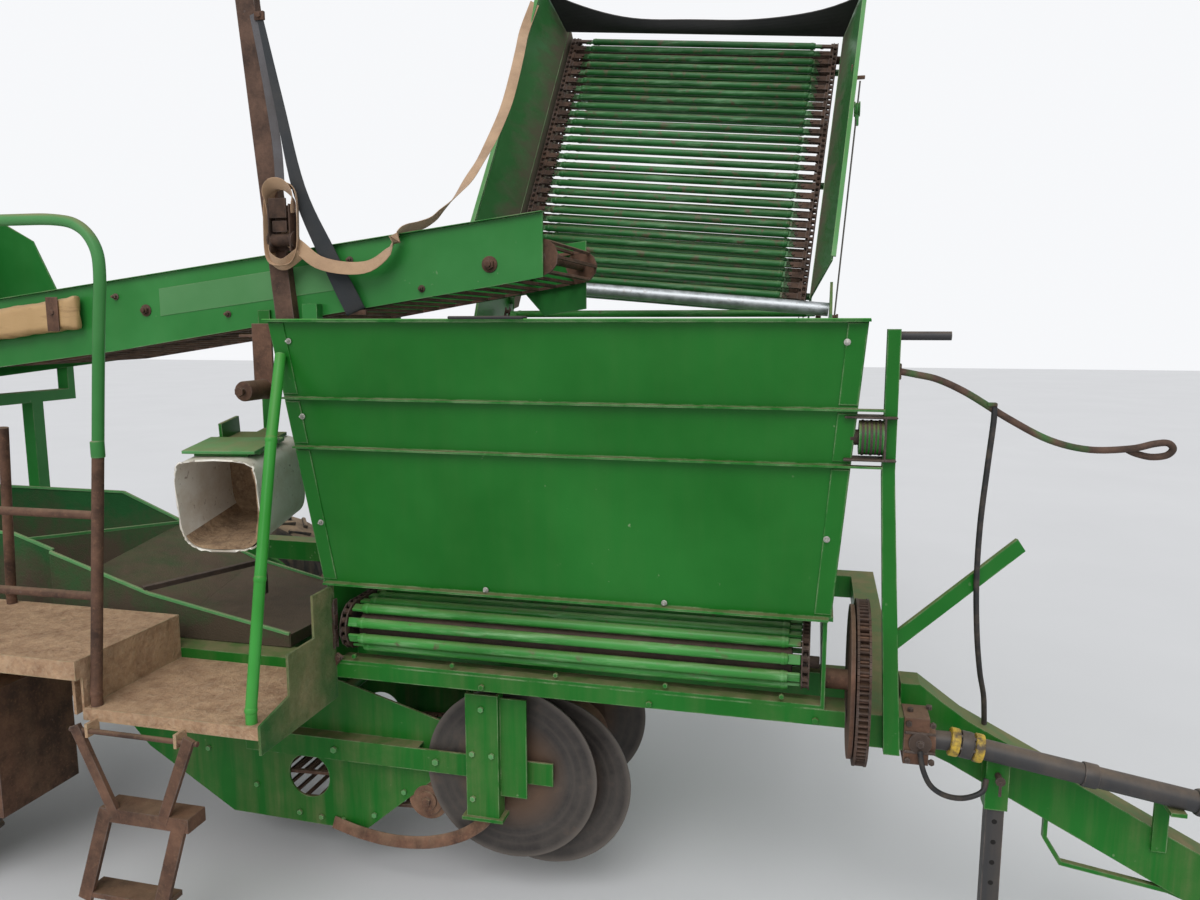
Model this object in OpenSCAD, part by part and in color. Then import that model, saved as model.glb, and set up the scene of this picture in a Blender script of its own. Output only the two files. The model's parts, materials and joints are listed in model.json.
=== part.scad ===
/* [Overall] */
// Length from the tow eye's tip to the rear elevator's back sheet
overall_l = 6050; // [5950:10:6150]
// Width from the ladder's outer face to the discharge elevator's tip
overall_w = 3140; // [3100:10:3180]

/* [Frame] */
// Height of the main beams' top face above the ground
frame_z = 880; // [870:5:890]
// Width and depth of a main beam's square tube
beam = 100; // [90:5:110]
// Outer face of the right-hand beam, measured to the right of the middle
beam_y = 1090; // [1080:5:1100]
// Depth of the right-hand beam below the bunker
sill_h = 50; // [45:5:70]
// Near face of the inner beam, measured to the right of the middle
inner_y = 280; // [270:5:290]
// Width of the inner beam
inner_w = 80; // [60:5:90]
// Near face of the left-hand beam, measured to the left of the middle
far_y = 400; // [380:10:410]
// Length of the frame in front of the bunker's side wall
front_bay = 215; // [205:5:225]
// Depth of the rear elevator's casing, behind the frame
lift_d = 545; // [535:5:555]

/* [Running gear] */
// Place of the axle along the machine
axle_x = -1650; // [-1670:5:-1630]
// Outside diameter of a tyre
tyre_d = 845; // [835:5:855]
// Width of a tyre
tyre_w = 290; // [270:5:300]
// Diameter of the rim where the tyre seats
rim_d = 389; // [380:1:400]
// Middle of the right-hand wheel, to the right of the middle
wheel_y = 1270; // [1265:5:1280]
// Middle of the left-hand wheel, to the left of the middle
wheel_far_y = 1100; // [1080:5:1150]
// Diameter of the stub that carries a wheel
stub_d = 60; // [50:2:70]

/* [Bunker] */
// Length of the bunker's side wall along its lower edge
bunker_l = 1635; // [1625:5:1645]
// Height of the lower edge of the side wall
bunker_z0 = 1160; // [1155:1:1170]
// Height of the top edge
bunker_z1 = 2020; // [2000:5:2040]
// How far the rear wall leans out over its height
rear_lean = 125; // [110:5:130]
// How far the front wall leans out over its height
front_lean = 70; // [60:5:80]
// How far the side wall leans out over its height
side_lean = 60; // [50:5:65]
// Thickness of the bunker's sheet
sheet = 4; // [3:1:5]
// Heights of the two pressed ribs
rib_low = 1616; // [1600:4:1640]
rib_high = 1775; // [1760:5:1800]
// Width of a rib and of the lips
rib = 26; // [20:1:30]

/* [Unloading web] */
// Slope of the unloading elevator
rise = 60; // [59:0.5:61]
// How far the swinging elevator leans towards the front
askew = 5; // [4:0.5:6]
// How far the swinging elevator's walls flare out
flare = 13; // [10:1:14]
// Diameter of a web tube
tube_d = 35; // [30:1:38]
// Spacing of the web tubes
tube_pitch = 65; // [60:1:75]
// Height of the floor web's upper run
floor_z = 1070; // [1065:1:1075]
// Radius of the turn at the side wall
turn_r = 70; // [66:1:74]
// Place where the floor bends up, to the left of the middle
kink_y = 5; // [0:1:10]
// Height of the joint between the fixed and the swinging elevator
split_z = 2090; // [2080:5:2100]
// Height of the swinging elevator's side walls above its web
wall_h = 350; // [300:10:380]
// Depth of the elevator below its web's upper run
belly = 200; // [196:1:210]
// Thickness of the elevator's side plates
plate = 8; // [6:1:10]
// How far the swinging elevator lowers
lower_deg = 45; // [30:1:50]

/* [Digging unit] */
// Pivot of the digging unit along the machine
dig_x = -1080; // [-1090:5:-1070]
// Height of the pivot
dig_z = 720; // [715:1:725]
// Outer face of its right-hand side plate, to the right of the middle
dig_y0 = 920; // [915:1:930]
// Outer face of its left-hand side plate, to the right of the middle
dig_y1 = 332; // [328:1:336]
// Diameter of the cutting discs
disc_d = 610; // [590:5:620]
// Diameter of the pins that carry the unit
pin_d = 40; // [36:1:44]

/* [Picking conveyor] */
// Front end of its side panels
pick_x1 = 635; // [620:5:650]
// Height of the panels' top edge at the front end
pick_z1 = 2390; // [2380:5:2400]
// Fall of the panels towards the rear, for each metre
pick_fall = 0.123; // [0.12:0.001:0.126]
// Near face of the conveyor, to the right of the middle
pick_y0 = 658; // [650:1:665]
// Far face of the conveyor, to the right of the middle
pick_y1 = 50; // [50:1:60]
// Depth of a side panel at the rear
pick_h = 270; // [260:5:280]

/* [Platform] */
// Height of the upper platform
deck_z = 1000; // [990:5:1010]
// Height of the lower step
step_z = 845; // [835:5:855]
// Place where the lower step meets the upper platform
deck_x = -575; // [-585:5:-565]
// Diameter of the hand rails
rail_d = 34; // [30:1:38]

/* [Drawbar] */
// Near face of the drawbar, to the right of the middle
bar_y = 954; // [950:1:960]
// Width of the drawbar's box section
bar_w = 100; // [90:5:110]
// Diameter of the tow eye's hole
eye_bore = 50; // [40:1:55]
// Outside diameter of the tow eye
eye_d = 100; // [90:2:110]
// Height of the tow eye's middle
eye_z = 400; // [390:5:410]
// Distance of the jack in front of the frame
jack_bay = 275; // [260:5:290]
// Width of the jack's square leg
jack_w = 50; // [46:1:52]
// Length of the jack's leg
jack_l = 767; // [760:1:800]

/* [Hidden] */

green = [0.13, 0.45, 0.17];
bright = [0.30, 0.70, 0.40];
rust = [0.40, 0.24, 0.18];
steel = [0.55, 0.55, 0.58];
black = [0.10, 0.10, 0.12];

run_fit = 0.05;
soft_gap = 0.3;
gap = 8;
front_x = overall_l / 2;
back_x = -overall_l / 2;
near_y = -overall_w / 2;
tip_y = overall_w / 2;
beam_z = frame_z - beam;
frame_x0 = back_x + lift_d;
frame_x1 = bunker_l + front_bay;
jack_x = frame_x1 + jack_bay;
pick_x0 = frame_x0 + 30;
deck_x0 = frame_x0 + 180;
mid_x = -150;
sill_y = -800;
deck_y = overall_w / 2 - 20;

// Directions along the unloading elevator and square to it, as [y, z]
up = [cos(rise), sin(rise)];
out = [-sin(rise), cos(rise)];
kink = [kink_y, floor_z];
split = kink + up * (split_z - floor_z) / sin(rise);
hinge = split - out * belly;
swing_l = (tip_y - hinge[0]) / cos(rise);

web_in = 60;
web_out = bunker_l - web_in;
side0 = 10;
side_t = 12;
side1 = bunker_l - side0 - side_t;
// Extra height of the leaning elevator's hinge on the rear side plate
lift = (side1 - side0) * tan(askew);

// Places a flat drawing that shows the machine from its right, thick towards the right
module side_view(y) translate([0, y, 0]) rotate([90, 0, 0]) children();
// Places a flat drawing that shows the machine from the front, thick towards the front
module front_view(x) translate([x, 0, 0]) rotate([90, 0, 90]) children();
// Leans the swinging elevator towards the front, about its hinge at the front side plate
module leaning() translate([side1, 0, split_z]) rotate([0, askew, 0]) translate([-side1, 0, -split_z]) children();

// Straight round rod or tube between two points
module rod(a, b, d) {
    v = b - a;
    flat = norm([v[0], v[1]]);
    translate(a) rotate([0, 90 - atan2(v[2], flat), atan2(v[1], v[0])]) cylinder(h = norm(v), d = d, $fn = 32);
}
// Straight bar of w by h between two points, w measured sideways
module bar(a, b, w, h) {
    v = b - a;
    flat = norm([v[0], v[1]]);
    translate(a) rotate([0, -atan2(v[2], flat), atan2(v[1], v[0])])
        translate([0, -w / 2, -h / 2]) cube([norm(v), w, h]);
}
// Box between two corners
module block(a, b) translate(a) cube(b - a);
// Bent tube: straight lengths with a welded knuckle at each bend
module pipe(pts, d) for (i = [0 : len(pts) - 2]) {
    rod(pts[i], pts[i + 1], d);
    if (i > 0) translate(pts[i]) sphere(d = d + 4, $fn = 32);
}
// Ring of 8 points round p, square to the direction v
function ring(p, v, d) = let (f = v / norm(v), side = cross(f, [0, 0, 1]) / norm(cross(f, [0, 0, 1])), top = cross(side, f))
    [for (k = [0 : 7]) p + (side * cos(k * 45) + top * sin(k * 45)) * d / 2];
// Bent bar as one skin along a row of points
module bent_bar(pts, d) {
    n = len(pts);
    rings = [for (i = [0 : n - 1]) ring(pts[i], pts[min(i + 1, n - 1)] - pts[max(i - 1, 0)], d)];
    polyhedron(points = [for (r = rings) each r],
        faces = concat([[for (k = [0 : 7]) k]], [[for (k = [7 : -1 : 0]) (n - 1) * 8 + k]],
            [for (i = [0 : n - 2]) for (k = [0 : 7])
                [i * 8 + k, (i + 1) * 8 + k, (i + 1) * 8 + (k + 1) % 8, i * 8 + (k + 1) % 8]]));
}

// Strip of thickness t and width w between two flat points
module strip(a, b, t, w) {
    v = b - a;
    translate(a) rotate(atan2(v[1], v[0])) translate([0, -t / 2, 0]) cube([norm(v), t, w]);
}
// Point i of a flat row of points, moved sideways by s with mitred bends
function beside(pts, i, s) = let (n = len(pts), v0 = pts[max(i, 1)] - pts[max(i, 1) - 1],
    v1 = pts[min(i, n - 2) + 1] - pts[min(i, n - 2)], a0 = atan2(v0[1], v0[0]), a1 = atan2(v1[1], v1[0]),
    m = (a0 + a1) / 2 + 90) pts[i] + [cos(m), sin(m)] * s / cos((a1 - a0) / 2);
// Bar web along a flat row of points: two chains in one piece each and the bars between them
module web_path(pts, w, d, pitch, chain_t, chain_w, sides) {
    n = len(pts);
    for (z = [0, w - chain_w]) translate([0, 0, z]) linear_extrude(chain_w) polygon(concat(
        [for (i = [0 : n - 1]) beside(pts, i, chain_t / 2)], [for (i = [n - 1 : -1 : 0]) beside(pts, i, -chain_t / 2)]));
    for (k = [0 : n - 2]) {
        v = pts[k + 1] - pts[k];
        bars = floor(norm(v) / pitch);
        for (i = [0 : bars - 1])
            translate(pts[k] + v * (i + 0.5) / bars) rotate(atan2(v[1], v[0]) + 180 / sides)
                translate([0, 0, chain_w / 2]) cylinder(h = w - chain_w, d = d, $fn = sides);
    }
}
// The turn of a bar web on its sprockets: discs at both ends, bars from angle a0 to a1 and a shaft
module web_turn(c, r, a0, a1, w, d, pitch, chain_t, chain_w, sides, shaft_d, reach) {
    n = max(1, round(abs(a1 - a0) * PI * r / 180 / pitch));
    for (z = [0, w - chain_w]) translate([c[0], c[1], z + 2]) rotate(a0 + 7) cylinder(h = chain_w - 4, r = r + chain_t / 2 - 1, $fn = 12);
    for (i = [0 : n - 1]) {
        a = a0 + (a1 - a0) * (i + 0.5) / n;
        translate(c + r * [cos(a), sin(a)]) rotate(a + 180 / sides)
            translate([0, 0, chain_w / 2]) cylinder(h = w - chain_w, d = d, $fn = sides);
    }
    translate([c[0], c[1], -reach]) cylinder(h = w + 2 * reach, d = shaft_d, $fn = 24);
}

// Frame of square tube, with the brackets for the digging unit's pins
module main_frame() color(green) {
    block([frame_x0, -beam_y, beam_z], [mid_x + beam, -beam_y + beam, frame_z]);
    block([mid_x + beam - 1, -beam_y, frame_z - sill_h], [bunker_l + 50, -beam_y + beam, frame_z]);
    block([frame_x0, far_y, beam_z], [frame_x1, far_y + beam, frame_z]);
    for (x = [frame_x0, mid_x, frame_x1 - beam])
        block([x, -beam_y, beam_z], [x + beam, far_y + beam, frame_z]);
    block([frame_x0, -inner_y, beam_z], [mid_x + beam, -inner_y + inner_w, frame_z]);
    block([mid_x, sill_y, beam_z], [frame_x1, sill_y + inner_w, frame_z]);
    // Legs down to the axle
    for (y = [-beam_y, far_y])
        block([axle_x - beam / 2, y, tyre_d / 2 + beam / 2], [axle_x + beam / 2, y + beam, frame_z]);
    // Pin brackets of the digging unit
    pin_bracket(-beam_y + beam - 15, 15);
    pin_bracket(-inner_y, 15);
    pin(-beam_y + beam - 1, -dig_y0 + plate);
    pin(-dig_y1 - plate, -inner_y + 1);
}
module pin_bracket(y, t) side_view(y + t) linear_extrude(t)
    polygon([[dig_x - 50, beam_z + 1], [dig_x + 50, beam_z + 1], [dig_x + 45, dig_z - 50], [dig_x - 45, dig_z - 50]]);
module pin(y0, y1) side_view(y1) translate([dig_x, dig_z, 0]) cylinder(h = y1 - y0, d = pin_d, $fn = 48);

// Cross axle of square tube with a round stub at each end
module axle() color(rust) {
    z = tyre_d / 2;
    in0 = -wheel_y + tyre_w / 2 + 15;
    in1 = wheel_far_y - tyre_w / 2 - 15;
    block([axle_x - beam / 2, in0, z - beam / 2], [axle_x + beam / 2, in1, z + beam / 2]);
    side_view(in0 + 1) translate([axle_x, z, 0]) cylinder(h = in0 + wheel_y + 61, d = stub_d, $fn = 48);
    side_view(wheel_far_y + 60) translate([axle_x, z, 0]) cylinder(h = wheel_far_y - in1 + 61, d = stub_d, $fn = 48);
}
// Tyre with rounded shoulders, on the rim
module tyre(y) color(black) translate([axle_x, y, tyre_d / 2]) rotate([90, 0, 0]) rotate_extrude($fn = 64) {
    ro = tyre_d / 2;
    ri = rim_d / 2;
    h = tyre_w / 2;
    polygon([[ri, -h + 40], [ri + 60, -h + 8], [ri + 120, -h], [ro - 50, -h + 6], [ro - 14, -h + 30], [ro, -h + 70],
        [ro, h - 70], [ro - 14, h - 30], [ro - 50, h - 6], [ri + 120, h], [ri + 60, h - 8], [ri, h - 40]]);
}
// Pressed rim with its disc and hub, out is 1 or -1 for the side that faces away from the machine
module rim(y, face) color(bright) translate([axle_x, y, tyre_d / 2]) rotate([90, 0, 0]) rotate_extrude($fn = 64) {
    ri = rim_d / 2;
    h = tyre_w / 2 - 40;
    b = stub_d / 2 + run_fit;
    polygon([[ri, -h], [ri, h], [ri - 12, h], [ri - 12, 10 * face + 10], [b + 30, 10 * face + 10], [b + 30, 50],
        [b, 50], [b, -60], [b + 30, -60], [b + 30, 10 * face - 4], [ri - 12, 10 * face - 4], [ri - 12, -h]]);
}

// Box-section drawbar falling to the hitch, with the jack's sleeve and the shaft's hook
jack_y = -bar_y - jack_w / 2 - 7;
tongue_x = front_x - 225;
bar_a = [[frame_x1 + 185, 835], [frame_x1 + 150, 690]];
bar_b = [[front_x - 290, eye_z + 70], [front_x - 335, eye_z - 70]];
// Height of the drawbar's top edge for k = 0, or its lower edge for k = 1, at place x
function bar_edge(k, x) = bar_a[k][1] + (bar_b[k][1] - bar_a[k][1]) * (x - bar_a[k][0]) / (bar_b[k][0] - bar_a[k][0]);
shaft_y = -1050;
shaft_x0 = frame_x1 + 135;
shaft_z0 = 805;
yoke_x = front_x - 250;
yoke_z = 690;
function shaft_z(x) = shaft_z0 + (yoke_z - shaft_z0) * (x - shaft_x0) / (yoke_x - 75 - shaft_x0);
module drawbar() color(green) {
    side_view(-bar_y + bar_w) linear_extrude(bar_w) polygon([[frame_x1, 930], [frame_x1 + 55, 930], bar_a[0],
        bar_b[0], [tongue_x, eye_z + 70], [tongue_x, eye_z - 70], bar_b[1], bar_a[1], [frame_x1 + 55, 730],
        [frame_x1, 730]]);
    // Sleeve of the jack
    sleeve_z = bar_edge(1, jack_x) - 35;
    difference() {
        block([jack_x - jack_w / 2 - 7, -bar_y - jack_w - 14, sleeve_z],
            [jack_x + jack_w / 2 + 7, -bar_y, sleeve_z + 170]);
        block([jack_x - jack_w / 2 - 0.5, -bar_y - jack_w - 7.5, sleeve_z - 10],
            [jack_x + jack_w / 2 + 0.5, -bar_y - 6.5, sleeve_z + 180]);
    }
    // Bent guard below the drawbar
    gx = front_x - 750;
    gz = bar_edge(1, gx) + 33;
    side_view(-bar_y + 30) linear_extrude(20) polygon([[gx, gz], [gx, eye_z + 80], [gx + 50, eye_z],
        [gx + 345, eye_z - 45], [gx + 415, eye_z - 70], [gx + 425, eye_z - 55], [gx + 350, eye_z - 33],
        [gx + 57, eye_z + 12], [gx + 12, eye_z + 84], [gx + 12, gz]]);
    // Rest for the drive shaft
    rest_x = yoke_x - 195;
    rest_z = shaft_z(rest_x + 20) - 30.5;
    block([rest_x - 20, shaft_y - 30, rest_z - 12], [rest_x + 20, -bar_y, rest_z]);
    block([rest_x - 20, -bar_y - 10, bar_edge(0, rest_x) - 60], [rest_x + 20, -bar_y + 1, rest_z - 6]);
}
// Forged tongue with the round eye that goes over the tractor's pin
module tow_eye() color(rust) difference() {
    union() {
        translate([front_x - eye_d / 2, -bar_y + bar_w / 2, eye_z - 20]) cylinder(h = 40, d = eye_d, $fn = 64);
        block([tongue_x, -bar_y + 15, eye_z - 20], [front_x - eye_d / 2, -bar_y + bar_w - 15, eye_z + 20]);
    }
    translate([front_x - eye_d / 2, -bar_y + bar_w / 2, eye_z - 50]) cylinder(h = 100, d = eye_bore, $fn = 64);
}
// Square leg with its foot plate
module jack_leg() color(black) {
    block([jack_x - jack_w / 2, jack_y - jack_w / 2, 5], [jack_x + jack_w / 2, jack_y + jack_w / 2, jack_l]);
    block([jack_x - 80, jack_y - 80, 0], [jack_x + 80, jack_y + 80, 12]);
}
// Bevel gearbox at the front end of the right-hand beam
module gearbox() color(rust) {
    block([frame_x1, shaft_y - 50, shaft_z0 - 60], [frame_x1 + 70, shaft_y + 50, shaft_z0 + 80]);
    translate([frame_x1 + 70, shaft_y, shaft_z0]) rotate([0, 90, 0]) cylinder(h = 20, d = 80, $fn = 32);
}
// Guarded cardan shaft lying in its rest
module drive_shaft() color(black) {
    translate([frame_x1 + 90, shaft_y, shaft_z0]) rotate([0, 90, 0]) cylinder(h = 50, d = 55, $fn = 32);
    rod([shaft_x0, shaft_y, shaft_z0], [yoke_x - 75, shaft_y, yoke_z], 60);
    difference() {
        translate([yoke_x - 85, shaft_y, yoke_z]) rotate([0, 90, 0]) cylinder(h = 85, d = 76, $fn = 48);
        translate([yoke_x - 55, shaft_y, yoke_z]) rotate([0, 90, 0]) cylinder(h = 60, d = 35, $fn = 48);
    }
}

// Two side plates that carry the unloading web, from the beams up to the elevator's hinge
edge0 = [kink_y - 20, bunker_z0 - 10];
edge1 = [280, 2050];
module bunker_side_plate(raised) difference() {
    r = [0, raised];
    linear_extrude(side_t) polygon([[-beam_y, frame_z], [far_y + beam, frame_z], [far_y + beam, 1460],
        hinge + [60, -20] + r, hinge + [40, 50] + r, split - out * 60 + r, split + out * 60 + r,
        split + out * 200 + r, edge1, edge0, [-beam_y, edge0[1]]]);
    // Window below the slope
    translate([0, 0, -1]) linear_extrude(side_t + 2) polygon([[-600, frame_z + 30], [400, frame_z + 30],
        [430, 1350], [330, 1300], [100, frame_z + 45], [-600, frame_z + 45]]);
}
module bunker_frame() color(green) {
    difference() {
        union() {
            front_view(side0) bunker_side_plate(lift);
            front_view(side1) bunker_side_plate(0);
        }
        leaning() front_view(side0 - 60) translate([hinge[0], hinge[1], 0])
            cylinder(h = bunker_l + 120, d = pin_d + 2 * run_fit, $fn = 48);
    }
    // Trough below the near turn, and the cross channel
    block([side0 + side_t, -beam_y, frame_z], [side1, -beam_y + 40, frame_z + 12]);
    block([side0 + side_t, far_y + 30, 900], [side1, far_y + 80, 960]);
}
// Pressed sheet walls, open at the top and at the web
bunker_h = bunker_z1 - bunker_z0;
function lean_at(z, total) = total * (z - bunker_z0) / bunker_h;
edge_v = edge1 - edge0;
edge_deg = atan2(edge_v[1], edge_v[0]);
// Solid that fills the bunker to within t of its outside, longer by e at the bottom and the top
module bunker_block(t, e) {
    h = [-e, bunker_h + e];
    function corner(k, x, lean, y) = [x + lean * h[k] / bunker_h, y, bunker_z0 + h[k]];
    function near_side(k) = -beam_y - side_lean * h[k] / bunker_h + t;
    polyhedron(points = [for (k = [0, 1]) each [
        corner(k, t, -rear_lean, near_side(k)), corner(k, bunker_l - t, front_lean, near_side(k)),
        corner(k, bunker_l - t, front_lean, 600 + e), corner(k, t, -rear_lean, 600 + e)]],
        faces = [[0, 1, 2, 3], [7, 6, 5, 4], [0, 4, 5, 1], [1, 5, 6, 2], [2, 6, 7, 3], [3, 7, 4, 0]]);
}
module bunker_shell() color(green) {
    difference() {
        bunker_block(0, 0);
        bunker_block(sheet, 20);
        // Open side along the unloading web's slope
        front_view(-400) linear_extrude(bunker_l + 800) polygon([edge0 + [1, -100], edge0 + [1, 1],
            edge0 + edge_v * 1.2 + [1, 1], [800, edge0[1] + edge_v[1] * 1.2], [800, edge0[1] - 100]]);
    }
    // Lips and ribs
    for (z = [rib_low, rib_high])
        block([6 - lean_at(z, rear_lean), -beam_y - lean_at(z, side_lean) - rib, z - 3],
            [post_x, -beam_y - lean_at(z, side_lean) + 1, z + 3]);
    block([-rear_lean - 4, -beam_y - side_lean - rib, bunker_z1 - 5],
        [bunker_l + front_lean + 4, -beam_y - side_lean + 6, bunker_z1 + 1]);
    block([8, -beam_y - rib, bunker_z0 - 4], [bunker_l - 8, -beam_y + 6, bunker_z0 + 3]);
    // Flat bars that stand on the side plates, level and along the slope
    for (x = [-6, bunker_l - side0 - side_t])
        block([x, -beam_y + 2, edge0[1]], [x + side0 + side_t + 6, edge0[0] - 1, edge0[1] + 14]);
    slope_l = (bunker_z1 - edge0[1]) / sin(edge_deg);
    translate([0, edge0[0], edge0[1]]) rotate([edge_deg, 0, 0]) linear_extrude(sheet) {
        polygon([[side0 + side_t, 0], [side0 + side_t, slope_l - 3], [-rear_lean - 8, slope_l - 3], [-sheet - 8, 0]]);
        polygon([[side1 + 3, 0], [side1 + 3, slope_l - 3], [bunker_l + front_lean + 12, slope_l - 3],
            [bunker_l + sheet + 8, 0]]);
    }
}
// Bar web on the bunker's floor and up to the split
web_w = web_out - web_in;
chain = [22, 15];
shaft_reach = web_in - side0 - side_t;
module floor_web() color(bright) front_view(web_in) {
    near = [-beam_y + turn_r - 5, floor_z - turn_r];
    low = kink + [turn_r * 2 * tan(rise / 2), -2 * turn_r];
    top_end = split - up * gap;
    low_end = top_end - out * 2 * turn_r;
    web_path([near + [0, turn_r], kink, top_end], web_w, tube_d, tube_pitch, chain[0], chain[1], 8);
    web_path([near - [0, turn_r], low, low_end], web_w, tube_d, tube_pitch, chain[0], chain[1], 8);
    web_turn(near, turn_r, 90, 270, web_w, tube_d, tube_pitch, chain[0], chain[1], 8, 40, shaft_reach);
}
// Silver tube across the elevator's foot, between the side plates
module cross_tube() color(steel) {
    end = 30 * sin(askew) + 0.1;
    y = far_y + 70;
    z = split_z - 19;
    rod([side0 + side_t + end, y, z + lift], [side1 - end, y, z + end * tan(askew)], 60);
}
// Large sprocket of the web's drive, on a stub of the front side plate
teeth = 40;
module web_drive_wheel() color(rust) front_view(side1 + side_t) translate([-beam_y + 65, frame_z + 74, 0]) {
    cylinder(h = 118, d = 60, $fn = 32);
    translate([0, 0, 66]) cylinder(h = 12, r = 225, $fn = 64);
    translate([0, 0, 86]) linear_extrude(30) polygon([for (i = [0 : 4 * teeth - 1])
        (i % 4 < 2 ? 232 : 219) * [cos(i * 90 / teeth), sin(i * 90 / teeth)]]);
    translate([0, 0, 70]) cylinder(h = 40, r = 70, $fn = 32);
}
// Leaning upright at the bunker's front corner, with the roller between the ribs and the stay arm
post_x = bunker_l + 120;
module front_post() color(green) {
    side_view(-beam_y) linear_extrude(40) polygon([[post_x + 38, beam_z], [post_x + 83, beam_z], [post_x + 35, 1600],
        [post_x + 35, 1995], [post_x, 1995], [post_x, 1590]]);
    translate([post_x - 65, -beam_y - 20, 1696]) rotate([0, 90, 0]) cylinder(h = 66, d = 96, $fn = 32);
    bar([post_x + 45, -beam_y - 20, 1105], [post_x + 400, -beam_y + 120, 1382], 12, 45);
}
module control_lever() color(black)
    rod([post_x + 35, -beam_y - 20, 1977], [post_x + 165, -beam_y - 20, 1977], 24);
// Bent steel rod that carries the hoses to the tractor
hose_pts = [[37.5, -1105, 1880], [80, -1100, 1872], [140, -1090, 1858], [220, -1075, 1820],
    [330, -1050, 1752], [445, -1020, 1692], [555, -990, 1665], [665, -965, 1668], [745, -950, 1690],
    [780, -942, 1665], [750, -938, 1640], [695, -936, 1650]];
module hose_rod() color(green) translate([post_x, 0, 0]) bent_bar(hose_pts, 18);

// Swinging upper part of the unloading elevator
swing_in = 75;
swing_out = bunker_l - 135;
swing_w = swing_out - swing_in;
wall_gap = 22;
wall0 = swing_in - wall_gap - plate;
wall1 = swing_out + wall_gap;
// Wall that stands upright below and flares out above, face is 1 towards the front or -1
module swing_wall(face) {
    linear_extrude(plate) polygon([split + up * gap - out * (belly - 40), hinge + [-25, -42], hinge + [45, -30],
        hinge + up * swing_l, hinge + up * swing_l + out * (belly + 40), split + up * gap + out * 40]);
    translate([split[0], split[1], 0]) rotate([0, 0, rise]) translate([gap + 3, 30, 0]) rotate([face * flare, 0, 0])
        cube([swing_l - gap - 6, (wall_h - 30) / cos(flare), plate]);
}
module discharge_frame() color(green) leaning() {
    front_view(wall0) swing_wall(-1);
    front_view(wall1) swing_wall(1);
    // Hinge pins
    front_view(side0 - 8) translate([hinge[0], hinge[1], 0])
        cylinder(h = wall0 + plate - side0 + 8, d = pin_d, $fn = 48);
    front_view(wall1) translate([hinge[0], hinge[1], 0]) cylinder(h = side1 + side_t + 8 - wall1, d = pin_d, $fn = 48);
    // Cross tubes under the web
    for (s = [150, swing_l / 2, swing_l - 60]) {
        p = hinge + up * s + out * 19;
        rod([wall0 + plate - 1, p[0], p[1]], [wall1 + 1, p[0], p[1]], 34);
    }
}
module discharge_web() color(bright) leaning() front_view(swing_in) {
    a = split + up * gap;
    r = turn_r;
    b = split + up * (swing_l - r - 14);
    web_path([a, b], swing_w, tube_d, tube_pitch, chain[0], chain[1], 8);
    web_path([a - out * 2 * r, b - out * 2 * r], swing_w, tube_d, tube_pitch, chain[0], chain[1], 8);
    web_turn(b - out * r, r, rise + 90, rise - 90, swing_w, tube_d, tube_pitch, chain[0], chain[1], 8, 40, wall_gap);
}
// Rubber sheet across the elevator's end, between the flared walls
apron_low = 60;
apron_high = wall_h - 20;
// How far a wall's inner face stands out at height o above the web
function spread(o) = (o - 30) * tan(flare) - plate / cos(flare) + plate - soft_gap;
module rubber_apron() color(black) leaning() {
    p = split + up * (swing_l - 60);
    translate([0, p[0], p[1]]) rotate([90 + rise, 0, 0]) linear_extrude(8) polygon([
        [wall0 + plate - spread(apron_low), apron_low], [wall1 + spread(apron_low), apron_low],
        [wall1 + spread(apron_high), apron_high], [wall0 + plate - spread(apron_high), apron_high]]);
}

// Digging unit: side plates, guide channels, disc legs and cross tubes
module dig_plate() difference() {
    linear_extrude(plate) polygon([[dig_x - 55, dig_z - 55], [-885, 400], [-525, 180], [15, 170], [335, 440],
        [325, 630], [-60, 740], [-900, 700], [dig_x + 60, dig_z + 60], [dig_x - 20, dig_z + 75],
        [dig_x - 75, dig_z + 20]]);
    translate([dig_x, dig_z, -1]) cylinder(h = plate + 2, d = pin_d + 2 * run_fit, $fn = 48);
    translate([-200, 360, -1]) cylinder(h = plate + 2, d = 165, $fn = 48);
}
disc_r = disc_d / 2;
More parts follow.
